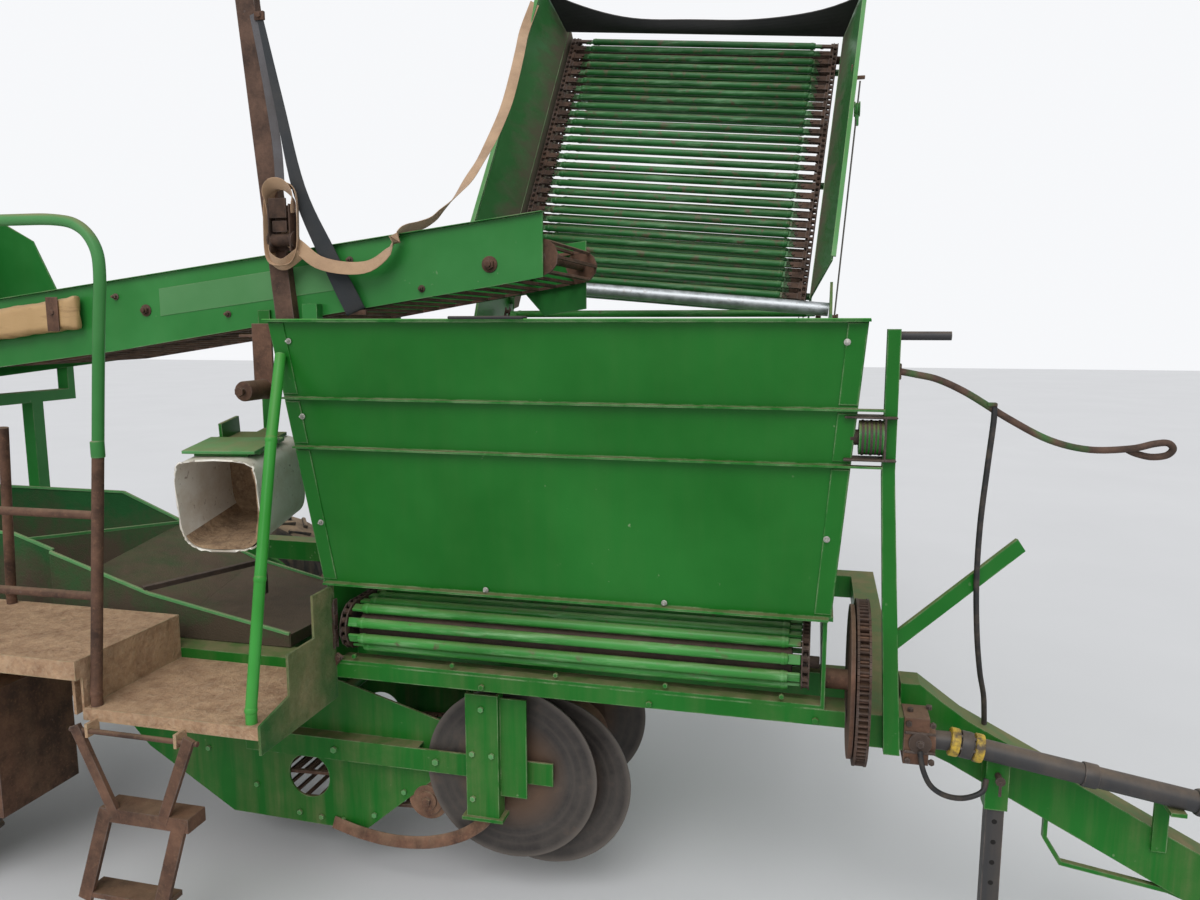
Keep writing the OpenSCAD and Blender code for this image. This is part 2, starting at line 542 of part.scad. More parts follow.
// Middle of each disc along the machine and above the ground
outer_disc = [593, 480];
inner_disc = [697, 440];
far_disc = [657, 480];
outer_disc_y = -dig_y0 - 24;
inner_disc_y = -860;
far_disc_y = -430;
arm_y0 = -810;
arm_y1 = -500;
axle_pin = 24;
module stub(c, y0, y1) side_view(y1) translate([c[0], c[1], 0]) cylinder(h = y1 - y0, d = axle_pin, $fn = 32);
module digging_frame() color(green) {
    side_view(-dig_y0 + plate) dig_plate();
    side_view(-dig_y1) dig_plate();
    // Guide channels and the leg with its foot plate
    block([-420, -dig_y0 - 55, 465], [753, -dig_y0 - 47, 545]);
    for (z = [465, 539]) block([-420, -dig_y0 - 55, z], [260, -dig_y0, z + 6]);
    block([465, -dig_y0 - 110, 356], [580, -dig_y0 - 100, 790]);
    for (x = [465, 571]) block([x, -dig_y0 - 101, 356], [x + 9, -dig_y0 - 54, 790]);
    block([579, -dig_y0 - 90, 430], [672, -dig_y0 - 82, 776]);
    block([450, -dig_y0 - 120, 345], [595, -dig_y0 - 50, 357]);
    block([-420, -dig_y1 - 1, 465], [753, -dig_y1 + 8, 545]);
    // Cross tubes
    for (p = [[-60, 690], [-640, 300], [300, 560]])
        rod([p[0], -dig_y0 + plate - 1, p[1]], [p[0], -dig_y1 - plate + 1, p[1]], 45);
    // Arms and stub axles of the discs and the roller
    for (y = [arm_y0, arm_y1]) bar([300, y + 10, 560], [inner_disc[0] + 20, y + 10, inner_disc[1] - 6], 20, 50);
    stub(outer_disc, outer_disc_y - 24, outer_disc_y + 14);
    stub(inner_disc, inner_disc_y - 14, arm_y0 + 1);
    stub(inner_disc, arm_y0 + 19, arm_y1 + 1);
    stub(far_disc, far_disc_y - 14, -dig_y1 - 0.5);
}
// Share that lifts the ridge onto the web
module share() color(steel) {
    side_view(far_disc_y - 20) linear_extrude(far_disc_y - inner_disc_y - 40)
        polygon([[335, 390], [620, 285], [640, 285], [350, 405]]);
    side_view(-dig_y1 - plate) linear_extrude(dig_y0 - dig_y1 - 2 * plate)
        polygon([[328, 395], [350, 395], [350, 412], [328, 412]]);
    // Cheeks on the inner faces of the side plates
    for (y = [-dig_y1 - plate, -dig_y0 + 2 * plate]) side_view(y) linear_extrude(plate)
        polygon([[200, 405], [260, 400], [345, 400], [345, 412], [300, 450], [200, 450]]);
}
// Dished cutting disc with its hub
module disc(y, c, dish) color(steel) side_view(y) translate([c[0], c[1], 0]) rotate_extrude($fn = 64) {
    b = axle_pin / 2 + run_fit;
    polygon([[b, -14], [60, -14], [60, -3], [150, -3], [disc_r, dish - 3], [disc_r, dish + 3], [150, 4],
        [60, 4], [60, 14], [b, 14]]);
}
module disc_outer() disc(outer_disc_y, outer_disc, 0);
module disc_inner() disc(inner_disc_y, inner_disc, 25);
module disc_far() disc(far_disc_y, far_disc, -20);
// Ridge roller between the discs
module ridge_roller() color(rust) side_view(arm_y1 - 8) translate([inner_disc[0], inner_disc[1], 0])
    rotate_extrude($fn = 48) {
        b = axle_pin / 2 + run_fit;
        w = arm_y1 - arm_y0 - 36;
        polygon([[b, 0], [140, 0], [80, w / 2 - 12], [80, w / 2 + 12], [140, w], [b, w]]);
    }

// Sieving web of the digging unit
module digging_web() color(rust) side_view(-dig_y1 - plate - 8) {
    w = dig_y0 - dig_y1 - 2 * plate - 16;
    a = [255, 335];
    b = [-480, 300];
    c = [dig_x, dig_z];
    r = 50;
    web_path([for (i = [0 : 2]) beside([a, b, c], i, r)], w, 16, 55, 12, 14, 4);
    web_path([for (i = [0 : 2]) beside([a, b, c], i, -r)], w, 16, 55, 12, 14, 4);
    web_turn(a, r, -90, 90, w, 16, 55, 12, 14, 4, 30, 8);
    web_turn(b, r - 9, 0, 1, w, 16, 55, 12, 14, 4, 30, 8);
    web_turn(c, r, 90, 270, w, 16, 55, 12, 14, 4, 30, 8);
}

// Sheets that guide the crop from the first web to the second, and the second web's side walls
module web_channel() color(green) {
    block([-1185, -beam_y + 80, frame_z], [-200, -beam_y + 88, 1180]);
    block([-1185, -inner_y, frame_z], [-200, -inner_y + 8, 1180]);
    block([-200, -beam_y + 80, frame_z], [-192, -inner_y + 8, 1180]);
    for (y = [-beam_y + beam + 8, -inner_y])
        side_view(y) linear_extrude(8) polygon([[-1190, 560], [-1190, 1250], [frame_x0 + 30, 1250],
            [frame_x0 + 30, frame_z], [frame_x0 + beam, frame_z], [frame_x0 + beam, beam_z], [-1500, 640]]);
}
module second_web() color(rust) side_view(-inner_y - 16) {
    w = beam_y - beam - inner_y - 32;
    a = [-1270, 640];
    b = [frame_x0 + 90, 1010];
    r = 50;
    t = atan2(b[1] - a[1], b[0] - a[0]) + 90;
    n = [cos(t), sin(t)] * r;
    web_path([a + n, b + n], w, 16, 60, 12, 14, 4);
    web_path([a - n, b - n], w, 16, 60, 12, 14, 4);
    web_turn(a, r, t - 180, t, w, 16, 60, 12, 14, 4, 30, 8);
    web_turn(b, r, t, t + 180, w, 16, 60, 12, 14, 4, 30, 8);
}
// Steep elevator at the rear
lift_z0 = 450;
lift_z1 = 2750;
el_y0 = -beam_y + beam;
el_y1 = -pick_y1;
module rear_elevator() color(green) {
    for (y = [el_y0 + 8, el_y1])
        side_view(y) linear_extrude(8) polygon([[back_x, lift_z0], [frame_x0, lift_z0], [frame_x0, lift_z1],
            [back_x + 80, lift_z1], [back_x, lift_z1 - 150]]);
    block([back_x, el_y0, lift_z0], [back_x + 6, el_y1, lift_z1 - 150]);
    block([back_x + 80, el_y0, lift_z1 - 6], [frame_x0, el_y1, lift_z1]);
    block([frame_x0 - 6, el_y0, 1300], [frame_x0, el_y1, 1760]);
    block([back_x, el_y0, lift_z0], [frame_x0, el_y1, lift_z0 + 6]);
}
module rear_elevator_web() color(rust) side_view(el_y1 - 16) {
    w = el_y1 - el_y0 - 32;
    x = (back_x + frame_x0) / 2;
    a = [x, lift_z0 + 190];
    b = [x, lift_z1 - 210];
    r = 100;
    web_path([a - [r, 0], b - [r, 0]], w, 16, 75, 12, 14, 4);
    web_path([a + [r, 0], b + [r, 0]], w, 16, 75, 12, 14, 4);
    web_turn(a, r, -180, 0, w, 16, 75, 12, 14, 4, 40, 8);
    web_turn(b, r, 0, 180, w, 16, 75, 12, 14, 4, 40, 8);
    for (i = [0 : 5]) for (s = [-1, 1])
        translate([x + s * (r + 45) - 45, lift_z0 + 250 + i * 340, 7]) cube([90, 8, w - 14]);
}

hood_x = frame_x0 + 540;
function pick_top(x) = pick_z1 - pick_fall * (pick_x1 - x);
// Side panel, its front end lowered by the given amounts at the top and below
module pick_panel(top, low) linear_extrude(8) polygon([[pick_x1, pick_top(pick_x1) - 220 - low],
    [pick_x1, pick_z1 - top], [pick_x1 - 180, pick_top(pick_x1 - 180) - top], [pick_x1 - 260, pick_top(pick_x1 - 260)],
    [hood_x, pick_top(hood_x)], [hood_x - 160, 2400], [frame_x0, 2600], [frame_x0, pick_top(frame_x0) - pick_h],
    [-1155, pick_top(-1155) - pick_h], [pick_x1 - 260, pick_top(pick_x1 - 260) - 229],
    [pick_x1 - 180, pick_top(pick_x1 - 180) - 227 - low]]);
module picking_frame() color(green) {
    side_view(-pick_y0 + 8) pick_panel(0, 0);
    side_view(-pick_y1) pick_panel(45, 100);
    // Cross members between the runs, and the posts down to the beams
    for (x = [400, -500, -1400, frame_x0 + 280])
        rod([x, -pick_y0 + 7, pick_top(x) - 150], [x, -pick_y1 - 7, pick_top(x) - 150], 40);
    for (x = [-250, frame_x0 + 480]) {
        z = pick_top(x) - 420;
        block([x - 30, -inner_y + 15, frame_z], [x + 30, -inner_y + 75, z + 1]);
        block([x - 30, -pick_y0 - 40, z], [x + 30, -pick_y1 + 40, z + 50]);
        block([x - 30, -pick_y0 - 40, z], [x + 30, -pick_y0, z + 220]);
        block([x - 30, -pick_y1, z], [x + 30, -pick_y1 + 40, z + 220]);
    }
}
module picking_belt() color(rust) side_view(-pick_y1 - 16) {
    w = pick_y0 - pick_y1 - 32;
    r = 60;
    a = [pick_x1 - 15, pick_top(pick_x1) - 150];
    b = [pick_x0 + 80, pick_top(pick_x0) - 150];
    web_path([a + [0, r], b + [0, r]], w, 16, 75, 12, 14, 4);
    web_path([[a[0], a[1] - r], [-200, pick_top(-200) - 245], [-1500, pick_top(-1500) - 275], [b[0], b[1] - r]],
        w, 16, 75, 12, 14, 4);
    web_turn(a, r, -90, 90, w, 16, 75, 12, 14, 4, 35, 8);
    web_turn(b, r, 90, 270, w, 16, 75, 12, 14, 4, 35, 8);
}
// Padded board along the conveyor that the pickers lean on
module lean_pad() color([0.75, 0.60, 0.38]) side_view(-pick_y0 - soft_gap) linear_extrude(60) polygon([
    [deck_x0, pick_top(deck_x0) - 182], [-1256, pick_top(-1256) - 182], [-1256, pick_top(-1256) - 22],
    [deck_x0, pick_top(deck_x0) - 22]]);

// Standing platform with the lower step at its front
step_x1 = 25;
module platform() color([0.55, 0.42, 0.32]) {
    block([deck_x0, -deck_y, deck_z - 60], [deck_x, -beam_y, deck_z]);
    for (x = [deck_x0 + 100, -1165, -650])
        block([x, -deck_y + 60, beam_z + 20], [x + 10, -beam_y, deck_z - 59]);
    block([deck_x - 1, -deck_y + 25, step_z - 40], [step_x1, -beam_y, step_z]);
    block([deck_x - 8, -deck_y + 25, step_z - 40], [deck_x, -beam_y, deck_z]);
    // Lugs that carry the ladder's rod
    for (x = [-540, -230]) difference() {
        block([x, near_y + 2, 772], [x + 10, -deck_y + 30, step_z - 30]);
        translate([x - 1, near_y + 12, 790]) rotate([0, 90, 0]) cylinder(h = 12, d = 16 + 2 * run_fit, $fn = 32);
    }
    front_view(step_x1) linear_extrude(8) polygon([[-deck_y + 25, 760], [-beam_y, 760], [-beam_y, 1150],
        [-beam_y - 130, 1150], [-beam_y - 130, 1010], [-beam_y - 280, 1010], [-beam_y - 280, 880], [-deck_y + 25, 850]]);
}
// Middle of the front post's foot, and the way the post leans up to the hoop
rail_foot = [deck_x + 24, -deck_y + 50, step_z];
rail_top = [-455, -deck_y + 90, 2218];
hoop_z = 1620;
rail_x0 = deck_x0 + 30;
// Upright start of a leaning rail
foot = [0, 0, 40];
rail_knee = rail_foot + foot;
function post_at(z) = rail_knee + (rail_top - rail_knee) * (z - rail_knee[2]) / (rail_top[2] - rail_knee[2]);
// Rusty posts and pipes round the platform
module guard_rail() color(rust) {
    y = -deck_y + 25;
    pipe([rail_foot, rail_knee, post_at(hoop_z)], rail_d);
    rod([rail_x0, y, deck_z], [rail_x0, y, 1600], rail_d);
    for (z = [1190, 1440]) rod([rail_x0, y, z], post_at(z), rail_d - 8);
    // Post at the inner edge of the platform
    inner_foot = [-1255, -beam_y - 30, deck_z];
    pipe([inner_foot, inner_foot + foot, [-1190, -beam_y - 60, 1650]], rail_d);
}
// Green hoop on top of the posts
module hand_hoop() color(bright) {
    y = -deck_y + 25;
    pipe([post_at(hoop_z), rail_top, rail_top + [-110, 0, 90], [rail_x0 + 90, y + 20, 2312], [rail_x0, y, 2240],
        [rail_x0, y, 1600]], rail_d);
}
// Bright tube to hold on to when climbing up
grab_foot = [-12, -deck_y + 50, step_z];
module grab_rail() color(bright)
    pipe([grab_foot, grab_foot + foot, [0, -1440, 1266], [-33, -1300, 1660], [-78, -1159.6, 1912]], rail_d);
// Hung boarding ladder: rod, stringers, steps and splayed legs
module ladder() color(rust) {
    side_view(near_y + 14) {
        strip([-578, 806], [-455, 530], 34, 14);
        strip([-178, 806], [-290, 530], 34, 14);
        strip([-487, 545], [-592, 235], 45, 14);
        strip([-225, 545], [-322, 235], 45, 14);
    }
    block([-508, near_y + 1, 508], [-198, near_y + 80, 552]);
    block([-590, near_y + 1, 245], [-300, near_y + 80, 262]);
    rod([-600, near_y + 12, 790], [-155, near_y + 12, 790], 16);
}
// Box under the platform in front of the wheel
box_x = axle_x + tyre_d / 2 + 32.5;
module stone_box() color(rust)
    block([box_x, -deck_y + 140, 350], [box_x + 140, -beam_y, beam_z + 20]);
// White plastic chute cut from a canister, hung below its bracket
chute = [290, 324, 400];
// Outline of the chute with c cut off its upper corners and twice as much off the lower ones
module chute_outline(w, h, c) polygon([[-w / 2 + c, -h / 2], [w / 2 - c, -h / 2], [w / 2, -h / 2 + c],
    [w / 2, h / 2 - 2 * c], [w / 2 - 2 * c, h / 2], [-w / 2 + 2 * c, h / 2], [-w / 2, h / 2 - 2 * c],
    [-w / 2, -h / 2 + c]]);
// Middle of the mouth, turned and tipped as the chute hangs; local z runs into the chute and local y down
module at_chute() translate([-391, -beam_y, 1393]) rotate([0, 0, 10]) rotate([-84, 0, 0]) children();
module waste_chute() color([0.88, 0.86, 0.82]) at_chute() difference() {
    linear_extrude(chute[2]) chute_outline(chute[0], chute[1], 42);
    translate([0, 0, -1]) linear_extrude(chute[2] + 2) chute_outline(chute[0] - 10, chute[1] - 10, 40);
}
module chute_bracket() color(green) {
    at_chute() translate([0, -chute[1] / 2 - 12, 0]) {
        translate([-95, 0, 60]) cube([190, 12, 330]);
        translate([-20, 0, 60]) cube([40, 12, 392]);
        translate([-95, -60, 250]) cube([12, 61, 140]);
    }
    block([-485, -pick_y0 - 12, 1590], [-435, -pick_y0, 2060]);
}
// Rusty channel post on the conveyor's side, for the holding straps
module strap_post() color(rust)
    bar([-343, -pick_y0 - 19, 1900], [-468, -pick_y0 - 19, 3300], 38, 75);

main_frame();
axle();
tyre(-wheel_y);  // tyre_right
rim(-wheel_y, 1);  // rim_right
tyre(wheel_far_y);  // tyre_left
rim(wheel_far_y, -1);  // rim_left
drawbar();
tow_eye();
jack_leg();
gearbox();
drive_shaft();
bunker_frame();
bunker_shell();
floor_web();
cross_tube();
web_drive_wheel();
front_post();
control_lever();
hose_rod();
discharge_frame();
discharge_web();
rubber_apron();
digging_frame();
share();
digging_web();
disc_outer();
disc_inner();
disc_far();
ridge_roller();
web_channel();
second_web();
rear_elevator();
rear_elevator_web();
picking_frame();
picking_belt();
lean_pad();
platform();
guard_rail();
hand_hoop();
grab_rail();
ladder();
stone_box();
waste_chute();
chute_bracket();
strap_post();
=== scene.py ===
import bpy
import json
import math
from mathutils import Matrix, Vector


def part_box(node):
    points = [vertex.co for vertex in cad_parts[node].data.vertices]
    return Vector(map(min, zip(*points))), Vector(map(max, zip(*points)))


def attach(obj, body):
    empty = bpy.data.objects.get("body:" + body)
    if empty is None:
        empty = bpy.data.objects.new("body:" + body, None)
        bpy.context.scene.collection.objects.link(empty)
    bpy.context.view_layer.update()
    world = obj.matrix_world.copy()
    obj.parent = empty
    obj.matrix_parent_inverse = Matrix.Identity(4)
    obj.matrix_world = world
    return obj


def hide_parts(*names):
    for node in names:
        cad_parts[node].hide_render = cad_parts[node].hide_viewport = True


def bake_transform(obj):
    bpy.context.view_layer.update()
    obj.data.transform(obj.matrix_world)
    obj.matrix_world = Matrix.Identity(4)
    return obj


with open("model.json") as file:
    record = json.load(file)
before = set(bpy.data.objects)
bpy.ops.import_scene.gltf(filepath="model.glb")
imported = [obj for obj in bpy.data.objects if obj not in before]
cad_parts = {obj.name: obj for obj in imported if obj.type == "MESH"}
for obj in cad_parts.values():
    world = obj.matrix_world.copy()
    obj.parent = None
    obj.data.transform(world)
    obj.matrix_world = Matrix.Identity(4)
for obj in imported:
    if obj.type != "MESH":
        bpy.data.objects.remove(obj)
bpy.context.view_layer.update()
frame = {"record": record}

# Camera: a phone held at eye height beside the machine's right-hand side.
# It looks slightly down and a little towards the rear.
camera_data = bpy.data.cameras.new("camera")
camera_data.lens = 27.0
camera_data.sensor_width = 36.0
camera = bpy.data.objects.new("camera", camera_data)
bpy.context.collection.objects.link(camera)
camera.location = (1.575, -3.70, 2.01)
camera.rotation_euler = (math.radians(82.0), 0.0, math.radians(13.6))
bpy.context.scene.camera = camera
bpy.context.scene.view_settings.view_transform = "Standard"

# Tie-down strap: a flat woven strap of faded tan polyester, 48 mm wide.
# It leaves the ratchet on the rusty post, droops past the conveyor's side
# and ends on the top of the elevator's rear wall.
SPLIT_Y, SPLIT_Z, FRONT_PLATE_X = 0.5939, 2.09, 1.613
LEAN_ANGLE = math.radians(5.0)
LEAN = Matrix.Rotation(LEAN_ANGLE, 3, "Y")


def on_elevator(x, s, o):
    """Point x across the leaning elevator, s up its slope and o out from its web."""
    flat = Vector((x - FRONT_PLATE_X, SPLIT_Y + 0.5 * s - 0.866 * o, 0.866 * s + 0.5 * o))
    turned = LEAN @ flat
    return Vector((turned.x + FRONT_PLATE_X, turned.y, turned.z + SPLIT_Z))


def smooth_route(points, steps):
    """Catmull-Rom points through the given ones."""
    rows = [Vector(p) for p in points]
    rows = [rows[0] * 2 - rows[1]] + rows + [rows[-1] * 2 - rows[-2]]
    route = []
    for i in range(1, len(rows) - 2):
        p0, p1, p2, p3 = rows[i - 1:i + 3]
        for k in range(steps):
            t = k / steps
            route.append(0.5 * (2 * p1 + (p2 - p0) * t + (2 * p0 - 5 * p1 + 4 * p2 - p3) * t * t
                                + (3 * p1 - p0 - 3 * p2 + p3) * t ** 3))
    route.append(rows[-2])
    return route


def mesh_piece(name, points, faces):
    """New object at the origin from points and faces."""
    mesh = bpy.data.meshes.new(name)
    mesh.from_pydata([tuple(p) for p in points], [], faces)
    mesh.update()
    piece = bpy.data.objects.new(name, mesh)
    bpy.context.collection.objects.link(piece)
    return piece


def select_only(*pieces):
    """Selects these pieces, the last one active."""
    bpy.ops.object.select_all(action="DESELECT")
    for piece in pieces:
        piece.select_set(True)
    bpy.context.view_layer.objects.active = pieces[-1]


def outward(piece):
    """Turns all faces of a piece outward."""
    select_only(piece)
    bpy.ops.object.mode_set(mode="EDIT")
    bpy.ops.mesh.select_all(action="SELECT")
    bpy.ops.mesh.normals_make_consistent(inside=False)
    bpy.ops.object.mode_set(mode="OBJECT")


def thicken(piece, thick, offset=0.0):
    """Gives a bare sheet its thickness."""
    select_only(piece)
    sheet = piece.modifiers.new("thick", "SOLIDIFY")
    sheet.thickness, sheet.offset = thick, offset
    bpy.ops.object.modifier_apply(modifier="thick")


def paint(piece, finish):
    """Gives a piece one finish."""
    piece.data.materials.clear()
    piece.data.materials.append(finish)


def heading(route, i):
    """Direction of a route at its point i."""
    return (route[min(i + 1, len(route) - 1)] - route[max(i - 1, 0)]).normalized()


def tube_faces(stations, ring):
    """Faces of a tube with a ring of points at each station, closed at both ends."""
    faces = [(i * ring + k, i * ring + (k + 1) % ring, (i + 1) * ring + (k + 1) % ring, (i + 1) * ring + k)
             for i in range(stations - 1) for k in range(ring)]
    last = (stations - 1) * ring
    return faces + [tuple(range(ring - 1, -1, -1)), tuple(last + k for k in range(ring))]


STRAP_SECTION = ((-0.5, -0.3), (-0.42, -0.5), (0.42, -0.5), (0.5, -0.3),
                 (0.5, 0.3), (0.42, 0.5), (-0.42, 0.5), (-0.5, 0.3))


def ribbon(name, route, sideways, width, thick):
    """Flat closed tube along a route; sideways gives the strap's wide direction at each point."""
    points = []
    for i, p in enumerate(route):
        ahead = heading(route, i)
        wide = sideways[i] - ahead * sideways[i].dot(ahead)
        wide.normalize()
        proud = ahead.cross(wide)
        points += [p + wide * width * a + proud * thick * b for a, b in STRAP_SECTION]
    piece = mesh_piece(name, points, tube_faces(len(route), len(STRAP_SECTION)))
    outward(piece)
    bpy.ops.object.shade_smooth_by_angle(angle=math.radians(50))
    return piece


rear_wall_top = on_elevator(-0.034, 1.42, 0.366)
strap_route = smooth_route([
    (-0.345, -0.708, 2.335), (-0.268, -0.716, 2.284), (-0.193, -0.720, 2.230), (-0.086, -0.722, 2.207),
    (0.010, -0.720, 2.213), (0.080, -0.712, 2.262), (0.105, -0.695, 2.318), (0.098, -0.620, 2.345),
    (0.070, -0.450, 2.375), (0.062, -0.300, 2.413), (0.090, -0.210, 2.477), (0.112, -0.100, 2.558),
    (0.137, 0.010, 2.663), (0.143, 0.130, 2.762), (0.148, 0.260, 2.884), (0.143, 0.400, 3.014),
    (0.131, 0.540, 3.164), (0.109, 0.700, 3.327), (0.080, 0.860, 3.470), tuple(rear_wall_top)], 4)
strap_count = len(strap_route)
strap_sides = [Vector((0.1 + 0.5 * i / strap_count, 0.25 + 0.5 * i / strap_count, 1.0 - 0.7 * i / strap_count))
               for i in range(strap_count)]
strap = ribbon("tie_strap", strap_route, strap_sides, 0.048, 0.0035)


def shader_of(name):
    """New material with its node tree and its Principled shader."""
    material = bpy.data.materials.new(name)
    material.use_nodes = True
    return material, material.node_tree, material.node_tree.nodes["Principled BSDF"]


def node(tree, kind, values=None, **settings):
    """New node with settings, and values for its sockets: a number, a colour or another socket."""
    made = tree.nodes.new("ShaderNode" + kind)
    for key, value in settings.items():
        setattr(made, key, value)
    for key, value in (values or {}).items():
        if isinstance(value, bpy.types.NodeSocket):
            tree.links.new(value, made.inputs[key])
        else:
            made.inputs[key].default_value = value
    return made


def blend_colour(tree, mask, first, second):
    """Colour that goes from first to second as the mask goes from 0 to 1."""
    mix = node(tree, "Mix", data_type="RGBA")
    for socket, value in ((mix.inputs[0], mask), (mix.inputs[6], first), (mix.inputs[7], second)):
        if isinstance(value, bpy.types.NodeSocket):
            tree.links.new(value, socket)
        elif isinstance(value, tuple):
            socket.default_value = (*value, 1.0)
        else:
            socket.default_value = value
    return mix.outputs[2]


def spread(tree, value, low, high, to_low=0.0, to_high=1.0):
    """Value moved from the range low to high into another range, and clamped."""
    return node(tree, "MapRange", {"Value": value, "From Min": low, "From Max": high,
                                   "To Min": to_low, "To Max": to_high}).outputs[0]


def maths(tree, operation, first, second=0.5):
    """Result of a plain calculation with two values."""
    return node(tree, "Math", {0: first, 1: second}, operation=operation).outputs[0]


def bumped(tree, shader, height, strength, distance):
    """Relief on the shader from a height."""
    bump = node(tree, "Bump", {"Strength": strength, "Distance": distance, "Height": height})
    tree.links.new(bump.outputs[0], shader.inputs["Normal"])


def coat(tree, shader, colour, rough=None, relief=None, metal=None, level=None):
    """Look of a shader: each value is a number or a socket, and relief is (height, strength, distance)."""
    for label, value in (("Base Color", colour), ("Roughness", rough), ("Metallic", metal),
                         ("Specular IOR Level", level)):
        if isinstance(value, bpy.types.NodeSocket):
            tree.links.new(value, shader.inputs[label])
        elif value is not None:
            shader.inputs[label].default_value = value
    if relief:
        bumped(tree, shader, *relief)


def noise(tree, place, scale, detail=5.0, rough=0.6):
    """Cloudy noise at a scale."""
    return node(tree, "TexNoise", {"Vector": place, "Scale": scale, "Detail": detail,
                                   "Roughness": rough}).outputs["Fac"]


def object_place(tree, stretch=None):
    """Object coordinates, stretched along the axes."""
    place = node(tree, "TexCoord").outputs["Object"]
    if stretch:
        place = node(tree, "Mapping", {"Vector": place, "Scale": stretch}).outputs[0]
    return place


def group_of(name, inputs, outputs):
    """New shader group with number inputs and number or colour outputs."""
    tree = bpy.data.node_groups.new(name, "ShaderNodeTree")
    for label, value in inputs:
        tree.interface.new_socket(label, in_out="INPUT", socket_type="NodeSocketFloat").default_value = value
    for label, kind in outputs:
        tree.interface.new_socket(label, in_out="OUTPUT", socket_type="NodeSocket" + kind)
    return tree, tree.nodes.new("NodeGroupInput"), tree.nodes.new("NodeGroupOutput")


def use_group(tree, group, **values):
    """Group placed in a material with its own values."""
    made = tree.nodes.new("ShaderNodeGroup")
    made.node_tree = group
    for key, value in values.items():
        made.inputs[key.replace("_", " ")].default_value = value
    return made


weave, weave_in, weave_out = group_of("weave", [("Scale", 400.0)], [("Height", "Float"), ("Stain", "Float")])
place = object_place(weave)
threads = []
for turn in (0.6, -0.6):
    turned = node(weave, "Mapping", {"Vector": place, "Rotation": (turn, turn, 0.4)}).outputs[0]
    wave = node(weave, "TexWave", {"Vector": turned, "Scale": 1.0, "Distortion": 0.4})
    weave.links.new(weave_in.outputs["Scale"], wave.inputs["Scale"])
    threads.append(wave.outputs["Fac"])
weave.links.new(maths(weave, "MULTIPLY", threads[0], threads[1]), weave_out.inputs["Height"])
weave.links.new(spread(weave, noise(weave, place, 9.0), 0.4, 0.75), weave_out.inputs["Stain"])


def cloth_finish(name, clean, stained, thread, rough=0.85, sheen=0.0):
    """Woven strap cloth, stained in places, with a painted highlight on its raised threads."""
    material, tree, shader = shader_of(name)
    cloth = use_group(tree, weave, Scale=260.0)
    colour = blend_colour(tree, cloth.outputs["Stain"], clean, stained)
    # The thread colour on the raised threads is a painted highlight.
    coat(tree, shader, blend_colour(tree, cloth.outputs["Height"], colour, thread), rough,
         (cloth.outputs["Height"], 0.5, 0.001))
    shader.inputs["Sheen Weight"].default_value = sheen
    return material


strap_cloth = cloth_finish("strap_cloth", (0.47, 0.295, 0.170), (0.27, 0.155, 0.085), (0.52, 0.36, 0.23), sheen=0.2)
paint(strap, strap_cloth)
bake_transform(strap)

# Paint and weather: shaders that every sheet-metal piece shares.
# Field dust lies on ledges and low parts, paint fades in patches, and edges are rubbed bare;
# on paint the pale edge is also a painted highlight.
weather, weather_in, weather_out = group_of(
    "weather", [("Dust", 0.5), ("Wear", 0.5), ("Size", 1.0)],
    [("Fade", "Float"), ("Dust", "Float"), ("Chips", "Float"), ("Grain", "Float")])
place = node(weather, "VectorMath", {0: object_place(weather)}, operation="SCALE")
weather.links.new(weather_in.outputs["Size"], place.inputs["Scale"])
place = place.outputs[0]
patches = noise(weather, place, 1.6, 4.0)
crumbs = noise(weather, place, 11.0, 8.0, 0.68)
grain = noise(weather, place, 140.0, 3.0)
runs = noise(weather, node(weather, "Mapping", {"Vector": place, "Scale": (16.0, 16.0, 1.1)}).outputs[0], 1.0, 4.0)
surface = node(weather, "NewGeometry")
facing = node(weather, "SeparateXYZ", {0: surface.outputs["Normal"]}).outputs["Z"]
height = node(weather, "SeparateXYZ", {0: object_place(weather)}).outputs["Z"]
lying = spread(weather, facing, 0.35, 0.95, 0.0, 0.85)
low_down = spread(weather, height, 1.15, 0.35, 0.0, 0.42)
splash = maths(weather, "MULTIPLY", maths(weather, "ADD", low_down, 0.03), spread(weather, runs, 0.42, 0.72))
dust = maths(weather, "MULTIPLY", maths(weather, "ADD", lying, splash),
             spread(weather, crumbs, 0.30, 0.62, 0.35, 1.15))
weather.links.new(maths(weather, "MULTIPLY", dust, weather_in.outputs["Dust"]), weather_out.inputs["Dust"])
# Bevel edge mask: worn edges, and on paint also a painted edge highlight.
rounded = node(weather, "Bevel", {"Radius": 0.007}, samples=4)
edge = node(weather, "VectorMath", {0: rounded.outputs[0], 1: surface.outputs["Normal"]}, operation="DOT_PRODUCT")
rubbed = spread(weather, edge.outputs["Value"], 0.985, 0.80)
chips_and_edge_highlight = maths(weather, "MULTIPLY", rubbed, spread(weather, crumbs, 0.40, 0.60))
specks = maths(weather, "MULTIPLY", spread(weather, noise(weather, place, 34.0, 2.0), 0.72, 0.76), 0.7)
chips_and_edge_highlight = maths(weather, "MAXIMUM", chips_and_edge_highlight, maths(weather, "MULTIPLY", specks, spread(weather, patches, 0.5, 0.62)))
weather.links.new(maths(weather, "MULTIPLY", chips_and_edge_highlight, weather_in.outputs["Wear"]), weather_out.inputs["Chips"])
weather.links.new(patches, weather_out.inputs["Fade"])
weather.links.new(grain, weather_out.inputs["Grain"])

SOIL = (0.30, 0.205, 0.125)
RUST_DARK, RUST_LIGHT = (0.060, 0.030, 0.020), (0.22, 0.105, 0.060)

